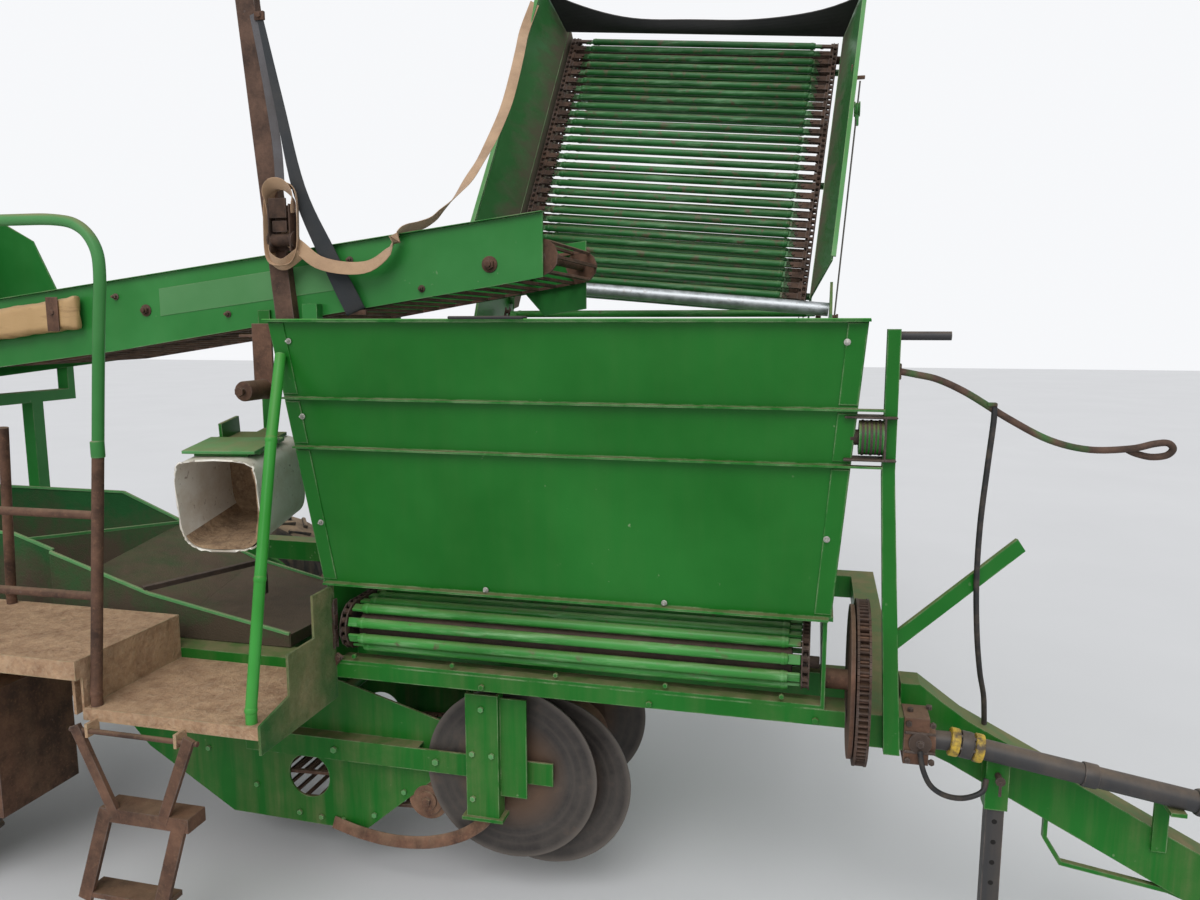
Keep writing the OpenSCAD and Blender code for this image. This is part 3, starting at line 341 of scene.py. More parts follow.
rusting, rusting_in, rusting_out = group_of("rusting", [("Size", 1.0)],
                                            [("Color", "Color"), ("Rough", "Float"), ("Height", "Float")])
place = node(rusting, "VectorMath", {0: object_place(rusting)}, operation="SCALE")
rusting.links.new(rusting_in.outputs["Size"], place.inputs["Scale"])
blotch = noise(rusting, place.outputs[0], 7.0, 8.0, 0.7)
pits = noise(rusting, place.outputs[0], 85.0, 4.0, 0.7)
colour = blend_colour(rusting, spread(rusting, blotch, 0.36, 0.66), RUST_DARK, RUST_LIGHT)
colour = blend_colour(rusting, spread(rusting, pits, 0.55, 0.72, 0.0, 0.55), colour, (0.30, 0.155, 0.085))
rusting.links.new(colour, rusting_out.inputs["Color"])
rusting.links.new(spread(rusting, blotch, 0.3, 0.7, 0.95, 0.62), rusting_out.inputs["Rough"])
rusting.links.new(maths(rusting, "ADD", pits, blotch), rusting_out.inputs["Height"])


def aged(tree, dust, wear, deep, faded, low=0.34, high=0.68):
    """Weather group of a material, and its paint between two shades."""
    worn = use_group(tree, weather, Dust=dust, Wear=wear, Size=1.0)
    return worn, blend_colour(tree, spread(tree, worn.outputs["Fade"], low, high), deep, faded)


def dusted(tree, worn, colour):
    """Colour with field dust on it."""
    return blend_colour(tree, worn.outputs["Dust"], colour, SOIL)


def chipped(tree, worn, colour, under):
    """Colour with its edges rubbed down to what is under it; a pale colour there is also a painted edge highlight."""
    return blend_colour(tree, worn.outputs["Chips"], colour, under)


def enamel(name, deep, faded, dust=0.6, wear=0.7, rough=0.36, under=(0.30, 0.36, 0.22)):
    """Weathered enamel: two shades of paint, a pale edge that is rubbed paint and painted highlight, and dust."""
    material, tree, shader = shader_of(name)
    worn, colour = aged(tree, dust, wear, deep, faded)
    colour = chipped(tree, worn, colour, under)
    coat(tree, shader, dusted(tree, worn, colour),
         spread(tree, worn.outputs["Dust"], 0.0, 0.6, rough, 0.9), (worn.outputs["Grain"], 0.12, 0.002), level=0.22)
    return material


def rusted(name, size=1.0, dust=0.4, metal=0.25, dark=0.0):
    """Bare steel gone brown, with dust on it."""
    material, tree, shader = shader_of(name)
    rust = use_group(tree, rusting, Size=size)
    worn = use_group(tree, weather, Dust=dust, Wear=0.8, Size=1.0)
    colour = blend_colour(tree, dark, rust.outputs["Color"], (0.020, 0.016, 0.013))
    colour = chipped(tree, worn, colour, (0.16, 0.13, 0.12))
    coat(tree, shader, dusted(tree, worn, colour), rust.outputs["Rough"],
         (rust.outputs["Height"], 0.45, 0.003), metal=metal)
    return material


green_paint = enamel("green_paint", (0.0045, 0.110, 0.0075), (0.013, 0.150, 0.017))
bright_green = enamel("bright_green", (0.022, 0.215, 0.020), (0.060, 0.33, 0.060), dust=0.5, wear=0.5, rough=0.3)
rusty_steel = rusted("rusty_steel", dark=0.25)

# Frame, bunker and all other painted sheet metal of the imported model.
# Each node takes the paint of its slot; the pieces below replace or dress some of them.
galvanised, tree, shader = shader_of("galvanised")
zinc = noise(tree, object_place(tree), 22.0, 3.0)
streak = noise(tree, object_place(tree, (60.0, 4.0, 60.0)), 1.0, 4.0)
colour = blend_colour(tree, spread(tree, zinc, 0.35, 0.65), (0.34, 0.36, 0.37), (0.52, 0.54, 0.56))
coat(tree, shader, blend_colour(tree, spread(tree, streak, 0.58, 0.75, 0.0, 0.6), colour, (0.20, 0.15, 0.11)),
     spread(tree, zinc, 0.3, 0.7, 0.34, 0.55), metal=0.7)

black_steel, tree, shader = shader_of("black_steel")
worn, colour = aged(tree, 0.35, 0.9, (0.018, 0.018, 0.020), (0.040, 0.038, 0.038), 0.3, 0.7)
colour = chipped(tree, worn, colour, (0.16, 0.12, 0.10))
coat(tree, shader, dusted(tree, worn, colour), 0.55, (worn.outputs["Grain"], 0.2, 0.002))


def disc_finish(name, centre):
    """Ground-polished disc steel: rings of scour round the centre, and a brown hub."""
    material, tree, shader = shader_of(name)
    spot = object_place(tree)
    flat = node(tree, "VectorMath", {0: spot, 1: (1.0, 0.0, 1.0)}, operation="MULTIPLY").outputs[0]
    reach = node(tree, "VectorMath", {0: flat, 1: (centre[0], 0.0, centre[1])}, operation="DISTANCE").outputs["Value"]
    rings = node(tree, "TexNoise", {"W": reach, "Scale": 60.0, "Detail": 6.0}, noise_dimensions="1D").outputs["Fac"]
    cloud = noise(tree, spot, 6.0, 6.0, 0.7)
    colour = blend_colour(tree, spread(tree, cloud, 0.35, 0.65), (0.034, 0.029, 0.027), (0.075, 0.064, 0.056))
    colour = blend_colour(tree, spread(tree, rings, 0.40, 0.80, 0.0, 0.5), colour, (0.085, 0.070, 0.060))
    middle = maths(tree, "ADD", spread(tree, reach, 0.21, 0.12), spread(tree, cloud, 0.55, 0.70, 0.0, 0.5))
    colour = blend_colour(tree, middle, colour, (0.120, 0.070, 0.044))
    colour = blend_colour(tree, spread(tree, reach, 0.285, 0.300, 0.0, 0.7), colour, (0.13, 0.11, 0.095))
    coat(tree, shader, colour, spread(tree, rings, 0.2, 0.8, 0.46, 0.62),
         (maths(tree, "ADD", rings, cloud), 0.15, 0.001), metal=0.3)
    return material


disc_steel = disc_finish("share_steel", (0.500, 0.340))
DISC_PLACES = (("disc_outer", 0.593, 0.480), ("disc_inner", 0.697, 0.440), ("disc_far", 0.657, 0.480))
deck_dirt, tree, shader = shader_of("deck_dirt")
spot = object_place(tree)
clods = noise(tree, spot, 13.0, 9.0, 0.72)
crust = noise(tree, spot, 55.0, 6.0, 0.7)
bare = noise(tree, spot, 2.6, 4.0)
worn = use_group(tree, weather, Dust=1.0, Wear=0.6, Size=1.0)
colour = blend_colour(tree, spread(tree, clods, 0.36, 0.62), (0.29, 0.162, 0.090), (0.51, 0.325, 0.192))
colour = blend_colour(tree, spread(tree, crust, 0.45, 0.7, 0.0, 0.6), colour, (0.53, 0.38, 0.25))
colour = blend_colour(tree, spread(tree, bare, 0.63, 0.70, 0.0, 0.7), colour, (0.075, 0.17, 0.070))
along = node(tree, "SeparateXYZ", {0: spot}).outputs["X"]
cheek = maths(tree, "MULTIPLY", spread(tree, along, 0.022, 0.026), spread(tree, bare, 0.72, 0.40, 0.35, 0.97))
colour = blend_colour(tree, cheek, colour, (0.012, 0.115, 0.016))
# Pale green on the edges: worn paint and a painted edge highlight.
colour = blend_colour(tree, maths(tree, "MULTIPLY", worn.outputs["Chips"], 0.8), colour, (0.30, 0.38, 0.22))
coat(tree, shader, colour, 0.95, (maths(tree, "ADD", clods, crust), 0.9, 0.012))

SLOT_FINISH = {"green_paint": green_paint, "bright_green": bright_green, "rusty_steel": rusty_steel,
               "bare_steel": disc_steel, "galvanised": galvanised, "black_steel": black_steel,
               "dirty_deck": deck_dirt}
for subpart in frame["record"]["subparts"]:
    finish = SLOT_FINISH.get(subpart["material_slot"])
    part = bpy.data.objects.get(subpart["node"])
    if finish and part:
        paint(part, finish)
for disc_name, x, z in DISC_PLACES:
    paint(bpy.data.objects[disc_name], disc_finish(disc_name + "_steel", (x, z)))

# Hose rod: a round bar painted green once, now dark and rusty with some paint left.
# The bar itself is made with the hoses.
rod_finish, tree, shader = shader_of("rod_finish")
rust = use_group(tree, rusting, Size=2.0)
left = noise(tree, object_place(tree, (3.0, 3.0, 3.0)), 1.0, 4.0)
dark = blend_colour(tree, 0.55, rust.outputs["Color"], (0.022, 0.020, 0.016))
coat(tree, shader, blend_colour(tree, spread(tree, left, 0.52, 0.60), dark, (0.018, 0.130, 0.022)),
     rust.outputs["Rough"], (rust.outputs["Height"], 0.4, 0.002))

# Bar webs of the bunker floor and the elevator: rubber-sleeved steel bars with
# flattened ends, bolted between two roller chains. The bars are green and scuffed,
# with a pale painted highlight on the scuffs.
def bar_paint(name, deep, light, worn, caked):
    """Scuffed paint of the web bars with a painted highlight on the scuffs, and soil caked on it in places."""
    material, tree, shader = shader_of(name)
    scuff_and_highlight = noise(tree, object_place(tree, (3.0, 30.0, 30.0)), 1.6, 6.0, 0.7)
    dusty, colour = aged(tree, 0.3, 0.0, deep, light, 0.3, 0.7)
    colour = blend_colour(tree, spread(tree, scuff_and_highlight, 0.52, 0.70), colour, worn)
    soil = spread(tree, noise(tree, object_place(tree), 21.0, 5.0), 0.60 - caked, 0.74 - caked)
    colour = blend_colour(tree, soil, colour, (0.11, 0.075, 0.046))
    coat(tree, shader, dusted(tree, dusty, colour),
         spread(tree, scuff_and_highlight, 0.3, 0.7, 0.28, 0.55), (scuff_and_highlight, 0.25, 0.002), level=0.35)
    return material


# The scuff colour is mostly a painted highlight; the floor bars get brighter greens and a paler one.
lift_bar_green = bar_paint("lift_bar_green", (0.010, 0.085, 0.016), (0.028, 0.160, 0.040), (0.13, 0.27, 0.13), 0.04)
floor_bar_green = bar_paint("floor_bar_green", (0.014, 0.150, 0.016), (0.050, 0.280, 0.050), (0.17, 0.36, 0.15), 0.0)
chain_rust = rusted("chain_rust", size=2.0, dust=0.10, metal=0.3, dark=0.60)
# Near-black steel; on the near roller its darkness is painted shade between the bars.
caked_and_shaded_steel = rusted("caked_and_shaded_steel", size=1.4, dust=0.15, metal=0.0, dark=0.82)


def settle(piece, name):
    """Applies the piece's place, names it and gives it soft edges in its shading."""
    select_only(piece)
    bpy.ops.object.transform_apply(location=True, rotation=True, scale=True)
    bpy.ops.object.shade_smooth_by_angle(angle=math.radians(32))
    piece.name = name
    return piece


def box(name, low, high, edge=0.0015, segments=1):
    """Box between two corners with its edges bevelled."""
    bpy.ops.object.select_all(action="DESELECT")
    middle = [(a + b) / 2 for a, b in zip(low, high)]
    bpy.ops.mesh.primitive_cube_add(size=1, location=middle)
    piece = bpy.context.object
    piece.scale = [b - a for a, b in zip(low, high)]
    bpy.ops.object.transform_apply(location=True, rotation=True, scale=True)
    bpy.ops.object.mode_set(mode="EDIT")
    bpy.ops.mesh.select_all(action="SELECT")
    if edge:
        bpy.ops.mesh.bevel(offset=edge, segments=segments, affect="EDGES")
    bpy.ops.object.mode_set(mode="OBJECT")
    return settle(piece, name)


def drum(name, place, radius, length, along="Z", sides=24, edge=0.0015):
    """Short round bar with bevelled rims, centred at a place."""
    bpy.ops.object.select_all(action="DESELECT")
    turn = {"X": (0, math.pi / 2, 0), "Y": (math.pi / 2, 0, 0), "Z": (0, 0, 0)}[along]
    bpy.ops.mesh.primitive_cylinder_add(vertices=sides, radius=radius, depth=length, location=place, rotation=turn)
    piece = bpy.context.object
    bpy.ops.object.transform_apply(location=True, rotation=True, scale=True)
    if edge:
        bpy.ops.object.mode_set(mode="EDIT")
        bpy.ops.mesh.select_mode(type="FACE")
        bpy.ops.mesh.select_all(action="DESELECT")
        bpy.ops.object.mode_set(mode="OBJECT")
        for face in piece.data.polygons:
            face.select = len(face.vertices) > 4
        bpy.ops.object.mode_set(mode="EDIT")
        bpy.ops.mesh.bevel(offset=edge, segments=2, affect="EDGES")
        bpy.ops.object.mode_set(mode="OBJECT")
    return settle(piece, name)


def bolt(place, radius, length, along="Y"):
    """Six-sided bolt head or nut."""
    return drum("bolt", place, radius, length, along, 6, 0.001)


def joined(name, pieces):
    """Pieces joined into one object."""
    select_only(*pieces)
    if len(pieces) > 1:
        bpy.ops.object.join()
    piece = bpy.context.view_layer.objects.active
    piece.name = name
    return piece


def copies(name, model, frames):
    """One object made of a copy of the model at each place and turn; the model itself goes."""
    points, faces = [], []
    base = [v.co.copy() for v in model.data.vertices]
    for matrix in frames:
        start = len(points)
        points += [matrix @ p for p in base]
        faces += [tuple(start + i for i in face.vertices) for face in model.data.polygons]
    piece = mesh_piece(name, points, faces)
    bpy.data.objects.remove(model, do_unlink=True)
    select_only(piece)
    bpy.ops.object.shade_smooth_by_angle(angle=math.radians(32))
    return piece


def dress(piece, finish, body="root"):
    """Gives a piece its finish and the body that it rides on."""
    paint(piece, finish)
    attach(piece, body)
    return piece


def sleeved_bar(length):
    """Round bar along X with rounded shoulders and flattened, drilled-looking ends."""
    rod = drum("bar", (0, 0, 0), 0.0165, length - 0.09, "X", 14, 0.006)
    ends = [box("tab", (side * (length / 2 - 0.04) - 0.030, -0.015, -0.005),
                (side * (length / 2 - 0.04) + 0.030, 0.015, 0.005), 0.002) for side in (-1, 1)]
    caps = [drum("collar", (side * (length / 2 - 0.062), 0, 0), 0.0178, 0.012, "X", 14, 0.002) for side in (-1, 1)]
    return joined("bar", ends + caps + [rod])


def bar_end():
    """Flattened bar end outside the sleeve, with the bolt that holds it to the chain."""
    return joined("end", [box("tab", (-0.045, -0.014, -0.005), (0.045, 0.014, 0.005), 0.0),
                          drum("head", (0.020, 0.0, 0.008), 0.009, 0.007, "Z", 6, 0.0),
                          box("hook", (-0.040, -0.019, -0.008), (-0.026, 0.019, 0.010), 0.0)])


def web_stations(corners, pitch, turns=()):
    """Places and slopes at an even pitch along straight runs, then round the turns, as (y, z, angle)."""
    rows = []
    for a, b in corners:
        run = Vector((b[0] - a[0], b[1] - a[1]))
        count = int(run.length / pitch)
        angle = math.atan2(run.y, run.x)
        for i in range(count):
            t = (i + 0.5) / count
            rows.append((a[0] + run.x * t, a[1] + run.y * t, angle))
    for (cy, cz), radius, start, stop in turns:
        count = max(1, round(abs(stop - start) * radius / pitch))
        for i in range(count):
            angle = start + (stop - start) * (i + 0.5) / count
            rows.append((cy + radius * math.cos(angle), cz + radius * math.sin(angle), angle + math.pi / 2))
    return rows


def across(x, y, z, angle):
    """Place of a bar that lies across a web, turned by the web's slope."""
    return Matrix.Translation((x, y, z)) @ Matrix.Rotation(angle, 4, "X")


UP, OUT = (0.5, 0.8660254), (-0.8660254, 0.5)
LIFT = (Matrix.Translation((FRONT_PLATE_X, 0, SPLIT_Z)) @ Matrix.Rotation(LEAN_ANGLE, 4, "Y")
        @ Matrix.Translation((-FRONT_PLATE_X, 0, -SPLIT_Z)))
SLOPE_END, WEB_DEPTH, TURN_R, CHAIN_PITCH = 1.5218, 0.14, 0.07, 0.0325
LIFT_MIDDLE, LIFT_CHAINS, LIFT_BAR = 0.7875, (0.0835, 1.4915), 1.29
LIFT_BAR_ENDS = (0.1340, 1.4410)
FLOOR_MIDDLE, FLOOR_CHAINS, FLOOR_BAR = 0.8175, (0.0685, 1.5665), 1.49
FLOOR_TOP, FLOOR_UNDER, NEAR_TURN = 1.070, 0.930, (-1.025, 1.0)


def slope_point(s, o):
    """Side view (y, z) of a point s up the upright elevator's slope and o out from its web."""
    return (SPLIT_Y + UP[0] * s + OUT[0] * o, SPLIT_Z + UP[1] * s + OUT[1] * o)


upper_runs = [(slope_point(0.008, 0.0), slope_point(SLOPE_END, 0.0)),
              (slope_point(SLOPE_END, -WEB_DEPTH), slope_point(0.008, -WEB_DEPTH))]
end_turn = slope_point(SLOPE_END, -TURN_R)
upper_turn = [(end_turn, TURN_R, math.radians(150), math.radians(-30))]
upper_rows = web_stations(upper_runs, 0.055, upper_turn)
upper_bars = copies("elevator_web_bars", sleeved_bar(LIFT_BAR),
                    [LIFT @ across(LIFT_MIDDLE, *row) for row in upper_rows])
dress(upper_bars, lift_bar_green, "discharge_elevator")
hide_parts("discharge_web")
rear_ends = [LIFT @ across(LIFT_BAR_ENDS[0], *row) for row in upper_rows]
front_ends = [LIFT @ across(LIFT_BAR_ENDS[1], *row) @ Matrix.Rotation(math.pi, 4, "Z") for row in upper_rows]
dress(copies("elevator_bar_ends", bar_end(), rear_ends + front_ends), chain_rust, "discharge_elevator")


def chain_link():
    """One link of roller chain along Y: two side plates and the roller between them."""
    plates = [box("plate", (x - 0.002, -0.019, -0.011), (x + 0.002, 0.019, 0.011), 0.0) for x in (-0.010, 0.010)]
    roller = drum("roller", (0, 0, 0), 0.0095, 0.018, "X", 8, 0.0)
    return joined("link", plates + [roller])


upper_chain = web_stations(upper_runs, CHAIN_PITCH, upper_turn)
links = [LIFT @ across(x, *row) for row in upper_chain for x in LIFT_CHAINS]
dress(copies("elevator_chains", chain_link(), links), chain_rust, "discharge_elevator")
end_shaft = joined("end_shaft", [drum("shaft", (LIFT_MIDDLE, *end_turn), 0.02, 1.47, "X", 24, 0.002)]
                   + [drum("sprocket", (x, *end_turn), 0.062, 0.008, "X", 12, 0.001) for x in LIFT_CHAINS])
end_shaft.data.transform(LIFT)
dress(end_shaft, chain_rust, "discharge_elevator")

floor_runs = [((NEAR_TURN[0], FLOOR_TOP), (0.005, FLOOR_TOP)), ((0.005, FLOOR_TOP), slope_point(-0.008, 0.0)),
              (slope_point(-0.008, -WEB_DEPTH), (0.0858, FLOOR_UNDER)),
              ((0.0858, FLOOR_UNDER), (NEAR_TURN[0], FLOOR_UNDER))]
floor_turn = [(NEAR_TURN, TURN_R, math.radians(90), math.radians(270))]
floor_rows = web_stations(floor_runs, 0.059, floor_turn)
floor_bars = copies("floor_web_bars", sleeved_bar(FLOOR_BAR), [across(FLOOR_MIDDLE, *row) for row in floor_rows])
dress(floor_bars, floor_bar_green)
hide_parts("floor_web")
links = [across(x, *row) for row in web_stations(floor_runs, CHAIN_PITCH, floor_turn) for x in FLOOR_CHAINS]
dress(copies("floor_chains", chain_link(), links), chain_rust)
# The near roller is near-black: painted shade in the web's turn between the bars.
near_roller = joined("near_roller", [drum("shaft", (FLOOR_MIDDLE, *NEAR_TURN), 0.018, 1.58, "X", 24, 0.002),
                                     drum("roller", (FLOOR_MIDDLE, *NEAR_TURN), 0.046, 1.420, "X", 32, 0.006)]
                     + [drum("sprocket", (x, *NEAR_TURN), 0.058, 0.008, "X", 12, 0.001) for x in FLOOR_CHAINS])
dress(near_roller, caked_and_shaded_steel)

# Elevator walls: green folded sheet. Their inner faces are brown with soil near the web,
# and their upper edges are rubbed pale by the crop, with a painted edge highlight in the pale.
wall_paint, tree, shader = shader_of("elevator_wall_paint")
spot = object_place(tree)
tilt = LEAN @ Vector((0.0, -0.8660254, 0.5))
reach = node(tree, "VectorMath", {0: spot, 1: tuple(tilt)}, operation="DOT_PRODUCT").outputs["Value"]
web_reach = on_elevator(FRONT_PLATE_X, 0.0, 0.0).dot(tilt)
streaks = noise(tree, object_place(tree, (3.0, 3.0, 9.0)), 1.8, 6.0, 0.7)
height = maths(tree, "ADD", maths(tree, "SUBTRACT", reach, web_reach), spread(tree, streaks, 0.3, 0.7, 0.10, -0.10))
inner = node(tree, "SeparateXYZ", {0: node(tree, "NewGeometry").outputs["Normal"]}).outputs["X"]
centre_side = maths(tree, "SUBTRACT", 0.86, node(tree, "SeparateXYZ", {0: spot}).outputs["X"])
inner = spread(tree, maths(tree, "MULTIPLY", inner, centre_side), 0.10, 0.30)
soil = maths(tree, "MULTIPLY", spread(tree, height, 0.26, 0.02, 0.0, 0.95), inner)
worn, colour = aged(tree, 0.4, 0.7, (0.024, 0.130, 0.030), (0.060, 0.200, 0.065))
# Pale green on the edges: rubbed paint and a painted edge highlight.
colour = chipped(tree, worn, colour, (0.30, 0.40, 0.24))
colour = blend_colour(tree, soil, colour, (0.135, 0.105, 0.075))
coat(tree, shader, dusted(tree, worn, colour), spread(tree, soil, 0.0, 0.6, 0.36, 0.9),
     (maths(tree, "ADD", worn.outputs["Grain"], streaks), 0.12, 0.003), level=0.3)
paint(bpy.data.objects["discharge_frame"], wall_paint)

# Rubber apron at the elevator's upper end: a worn black conveyor sheet between the
# flared walls. It is stretched from wall to wall and its upper part sags.
rubber, tree, shader = shader_of("apron_rubber")
ribbed = node(tree, "TexWave", {"Vector": object_place(tree), "Scale": 26.0, "Distortion": 1.0}, bands_direction="Z")
worn, colour = aged(tree, 0.3, 0.0, (0.014, 0.014, 0.016), (0.036, 0.034, 0.034), 0.3, 0.7)
coat(tree, shader, dusted(tree, worn, colour), 0.72,
     (maths(tree, "ADD", ribbed.outputs["Fac"], worn.outputs["Grain"]), 0.15, 0.002))

APRON_LOW, APRON_HIGH, COLUMNS, ROWS = 0.065, 0.325, 30, 8


def wall_inside(side, o):
    """Inner face of the elevator's rear (-1) or front (1) wall at height o."""
    flared = max(0.0, (o - 0.030) * math.tan(math.radians(13.0)) - 0.002)
    return 0.0535 - flared if side < 0 else 1.5215 + flared


def sheet_faces(columns, rows):
    """Faces of a closed sheet of two layers with (columns + 1) by (rows + 1) points each."""
    row, layer = columns + 1, (columns + 1) * (rows + 1)
    faces = []
    for j in range(rows):
        for i in range(columns):
            a = j * row + i
            faces += [(a, a + 1, a + row + 1, a + row),
                      (a + layer, a + row + layer, a + row + 1 + layer, a + 1 + layer)]
    rim = list(range(columns)) + [columns + j * row for j in range(rows)]
    rim += [rows * row + i for i in range(columns, 0, -1)] + [j * row for j in range(rows, 0, -1)]
    return faces + [(b, a, a + layer, b + layer) for a, b in zip(rim, rim[1:] + rim[:1])]


points = []
for layer in (0.0, 0.006):
    for j in range(ROWS + 1):
        for i in range(COLUMNS + 1):
            u, v = i / COLUMNS, j / ROWS
            droop = 4.0 * u * (1.0 - u)
            sag = 1.0 - (2.0 * u - 1.0) ** 4
            o = APRON_LOW + (APRON_HIGH - APRON_LOW - 0.165 * sag) * v + 0.006 * math.sin(9.0 * u + 1.0) * v
            s = 1.543 + layer - 0.022 * math.sin(math.pi * v) * droop + 0.004 * math.sin(17.0 * u) * v
            x = wall_inside(-1, o) + 0.003 + (wall_inside(1, o) - wall_inside(-1, o) - 0.006) * u
            points.append(on_elevator(x, s, o))
apron = mesh_piece("apron_sheet", points, sheet_faces(COLUMNS, ROWS))
outward(apron)
settle(apron, "apron_sheet")
dress(apron, rubber, "discharge_elevator")
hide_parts("rubber_apron")

# Lip strips on the elevator walls' outer edges, and the rod above the apron.
# The strips are folded sheet with rubbed paint and a painted edge highlight; the rod is bare and rusty.
LIP_START, LIP_END = 0.02, 1.595
lips = []
for side in (-1, 1):
    x = wall_inside(side, 0.372)
    lip = box("lip", (-0.016 if side < 0 else -0.004, 0.0, -0.004),
              (0.004 if side < 0 else 0.016, LIP_END - LIP_START, 0.004), 0.001)
    lip.data.transform(LIFT @ Matrix.Translation((x, *slope_point(LIP_START, 0.366)))
                       @ Matrix.Rotation(math.radians(60.0), 4, "X"))
    lips.append(lip)
lip_green = enamel("lip_green", (0.045, 0.220, 0.050), (0.11, 0.32, 0.12), dust=0.5, wear=1.0, rough=0.4)
dress(joined("elevator_wall_lips", lips), lip_green, "discharge_elevator")
top_rod = drum("apron_rod", (0.0, 0.0, 0.0), 0.010, wall_inside(1, 0.33) - wall_inside(-1, 0.33), "X", 16, 0.002)
top_rod.data.transform(LIFT @ Matrix.Translation((LIFT_MIDDLE, *slope_point(1.575, 0.33))))
dress(top_rod, rusty_steel, "discharge_elevator")

# Pickers' lean pad: a foam board in tan vinyl, folded over at its end and held by
# two short steel plates with a bolt each. The vinyl is creased, with painted shade in the creases,
# and dirty at the edges.
pad_vinyl, tree, shader = shader_of("pad_vinyl")
spot = object_place(tree)
leather = node(tree, "TexVoronoi", {"Vector": spot, "Scale": 420.0}).outputs["Distance"]
shaded_crease = noise(tree, object_place(tree, (5.0, 5.0, 26.0)), 1.3, 6.0, 0.7)
worn, colour = aged(tree, 0.8, 0.0, (0.42, 0.255, 0.105), (0.53, 0.35, 0.17), 0.3, 0.7)
# Darker brown along the creases: painted shade.
colour = blend_colour(tree, spread(tree, shaded_crease, 0.55, 0.75), colour, (0.26, 0.145, 0.065))
coat(tree, shader, dusted(tree, worn, colour), 0.55,
     (maths(tree, "ADD", leather, maths(tree, "MULTIPLY", shaded_crease, 3.0)), 0.35, 0.002))

pad_low, pad_high = [Vector(corner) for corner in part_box("lean_pad")]
PAD_FALL = 0.123
pad_core = box("lean_pad_vinyl", (pad_low.x + 0.012, pad_low.y + 0.010, -0.070),
               (pad_high.x - 0.010, pad_high.y - 0.012, 0.070), 0.012, 3)
pad_top = 2.390 - PAD_FALL * (0.635 - pad_high.x) - 0.022
for v in pad_core.data.vertices:
    v.co.z += pad_top - 0.080 - PAD_FALL * (pad_high.x - v.co.x)
select_only(pad_core)
remesh = pad_core.modifiers.new("voxels", "REMESH")
remesh.mode, remesh.voxel_size = "VOXEL", 0.009
bpy.ops.object.modifier_apply(modifier="voxels")
rest = [v.co.copy() for v in pad_core.data.vertices]
cloth = pad_core.modifiers.new("cloth", "CLOTH")
cloth.settings.use_pressure = True
cloth.settings.uniform_pressure_force = 4.0
cloth.settings.effector_weights.gravity = 0.0
cloth.settings.quality = 4
for frame_number in range(1, 13):
    bpy.context.scene.frame_set(frame_number)
shape = pad_core.evaluated_get(bpy.context.evaluated_depsgraph_get()).to_mesh()
swollen = [v.co.copy() for v in shape.vertices]
pad_core.modifiers.clear()
for v, old, new in zip(pad_core.data.vertices, rest, swollen):
    move = new - old
    v.co = old + move * min(1.0, 0.008 / max(move.length, 1e-9))
bpy.context.scene.frame_set(1)
for v in pad_core.data.vertices:
    pull = math.exp(-((v.co.x - pad_high.x + 0.115) / 0.035) ** 2)
    ripple = 0.0016 * math.sin(v.co.x * 31.0 + v.co.z * 18.0) + 0.0010 * math.sin(v.co.x * 83.0)
    if v.co.y < pad_low.y + 0.03:
        v.co.y += 0.007 * pull + ripple
    v.co.z += ripple
settle(pad_core, "lean_pad_vinyl")
dress(pad_core, pad_vinyl)
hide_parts("lean_pad")
plates = []
for x in (pad_high.x - 0.115, pad_high.x - 0.95):
    z = pad_top - 0.080 - PAD_FALL * (pad_high.x - x)
    plates += [box("pad_plate", (x - 0.028, pad_low.y + 0.0005, z - 0.062),
                   (x + 0.028, pad_low.y + 0.006, z + 0.072), 0.002, 2),
               bolt((x, pad_low.y - 0.001, z + 0.012), 0.011, 0.010)]
dress(joined("lean_pad_plates", plates), rusty_steel)

# Tyres: small farm tyres with slanted bars in two rows, on pressed green rims.
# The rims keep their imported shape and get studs, nuts and a valve.
tyre_rubber, tree, shader = shader_of("tyre_rubber")
spot = object_place(tree)
worn, colour = aged(tree, 1.0, 0.0, (0.016, 0.016, 0.017), (0.034, 0.032, 0.031), 0.3, 0.7)
caked = spread(tree, noise(tree, spot, 8.0, 8.0, 0.7), 0.50, 0.66, 0.0, 0.75)
colour = blend_colour(tree, caked, colour, (0.15, 0.105, 0.07))
coat(tree, shader, dusted(tree, worn, colour), 0.85,
     (maths(tree, "ADD", noise(tree, spot, 60.0, 6.0), worn.outputs["Grain"]), 0.35, 0.003))

TYRE_R, SEAT_R, TYRE_HALF = 0.4225, 0.1945, 0.145
AXLE_X = -1.650
sidewall = [(SEAT_R, -0.105), (SEAT_R + 0.020, -0.112), (SEAT_R + 0.028, -0.122), (SEAT_R + 0.060, -0.137),
            (0.300, -TYRE_HALF + 0.001), (0.318, -TYRE_HALF - 0.0005), (0.324, -TYRE_HALF + 0.002),
            (0.365, -0.140), (0.390, -0.125), (0.400, -0.100), (0.403, -0.04)]
profile = sidewall + [(r, -w) for r, w in reversed(sidewall)]


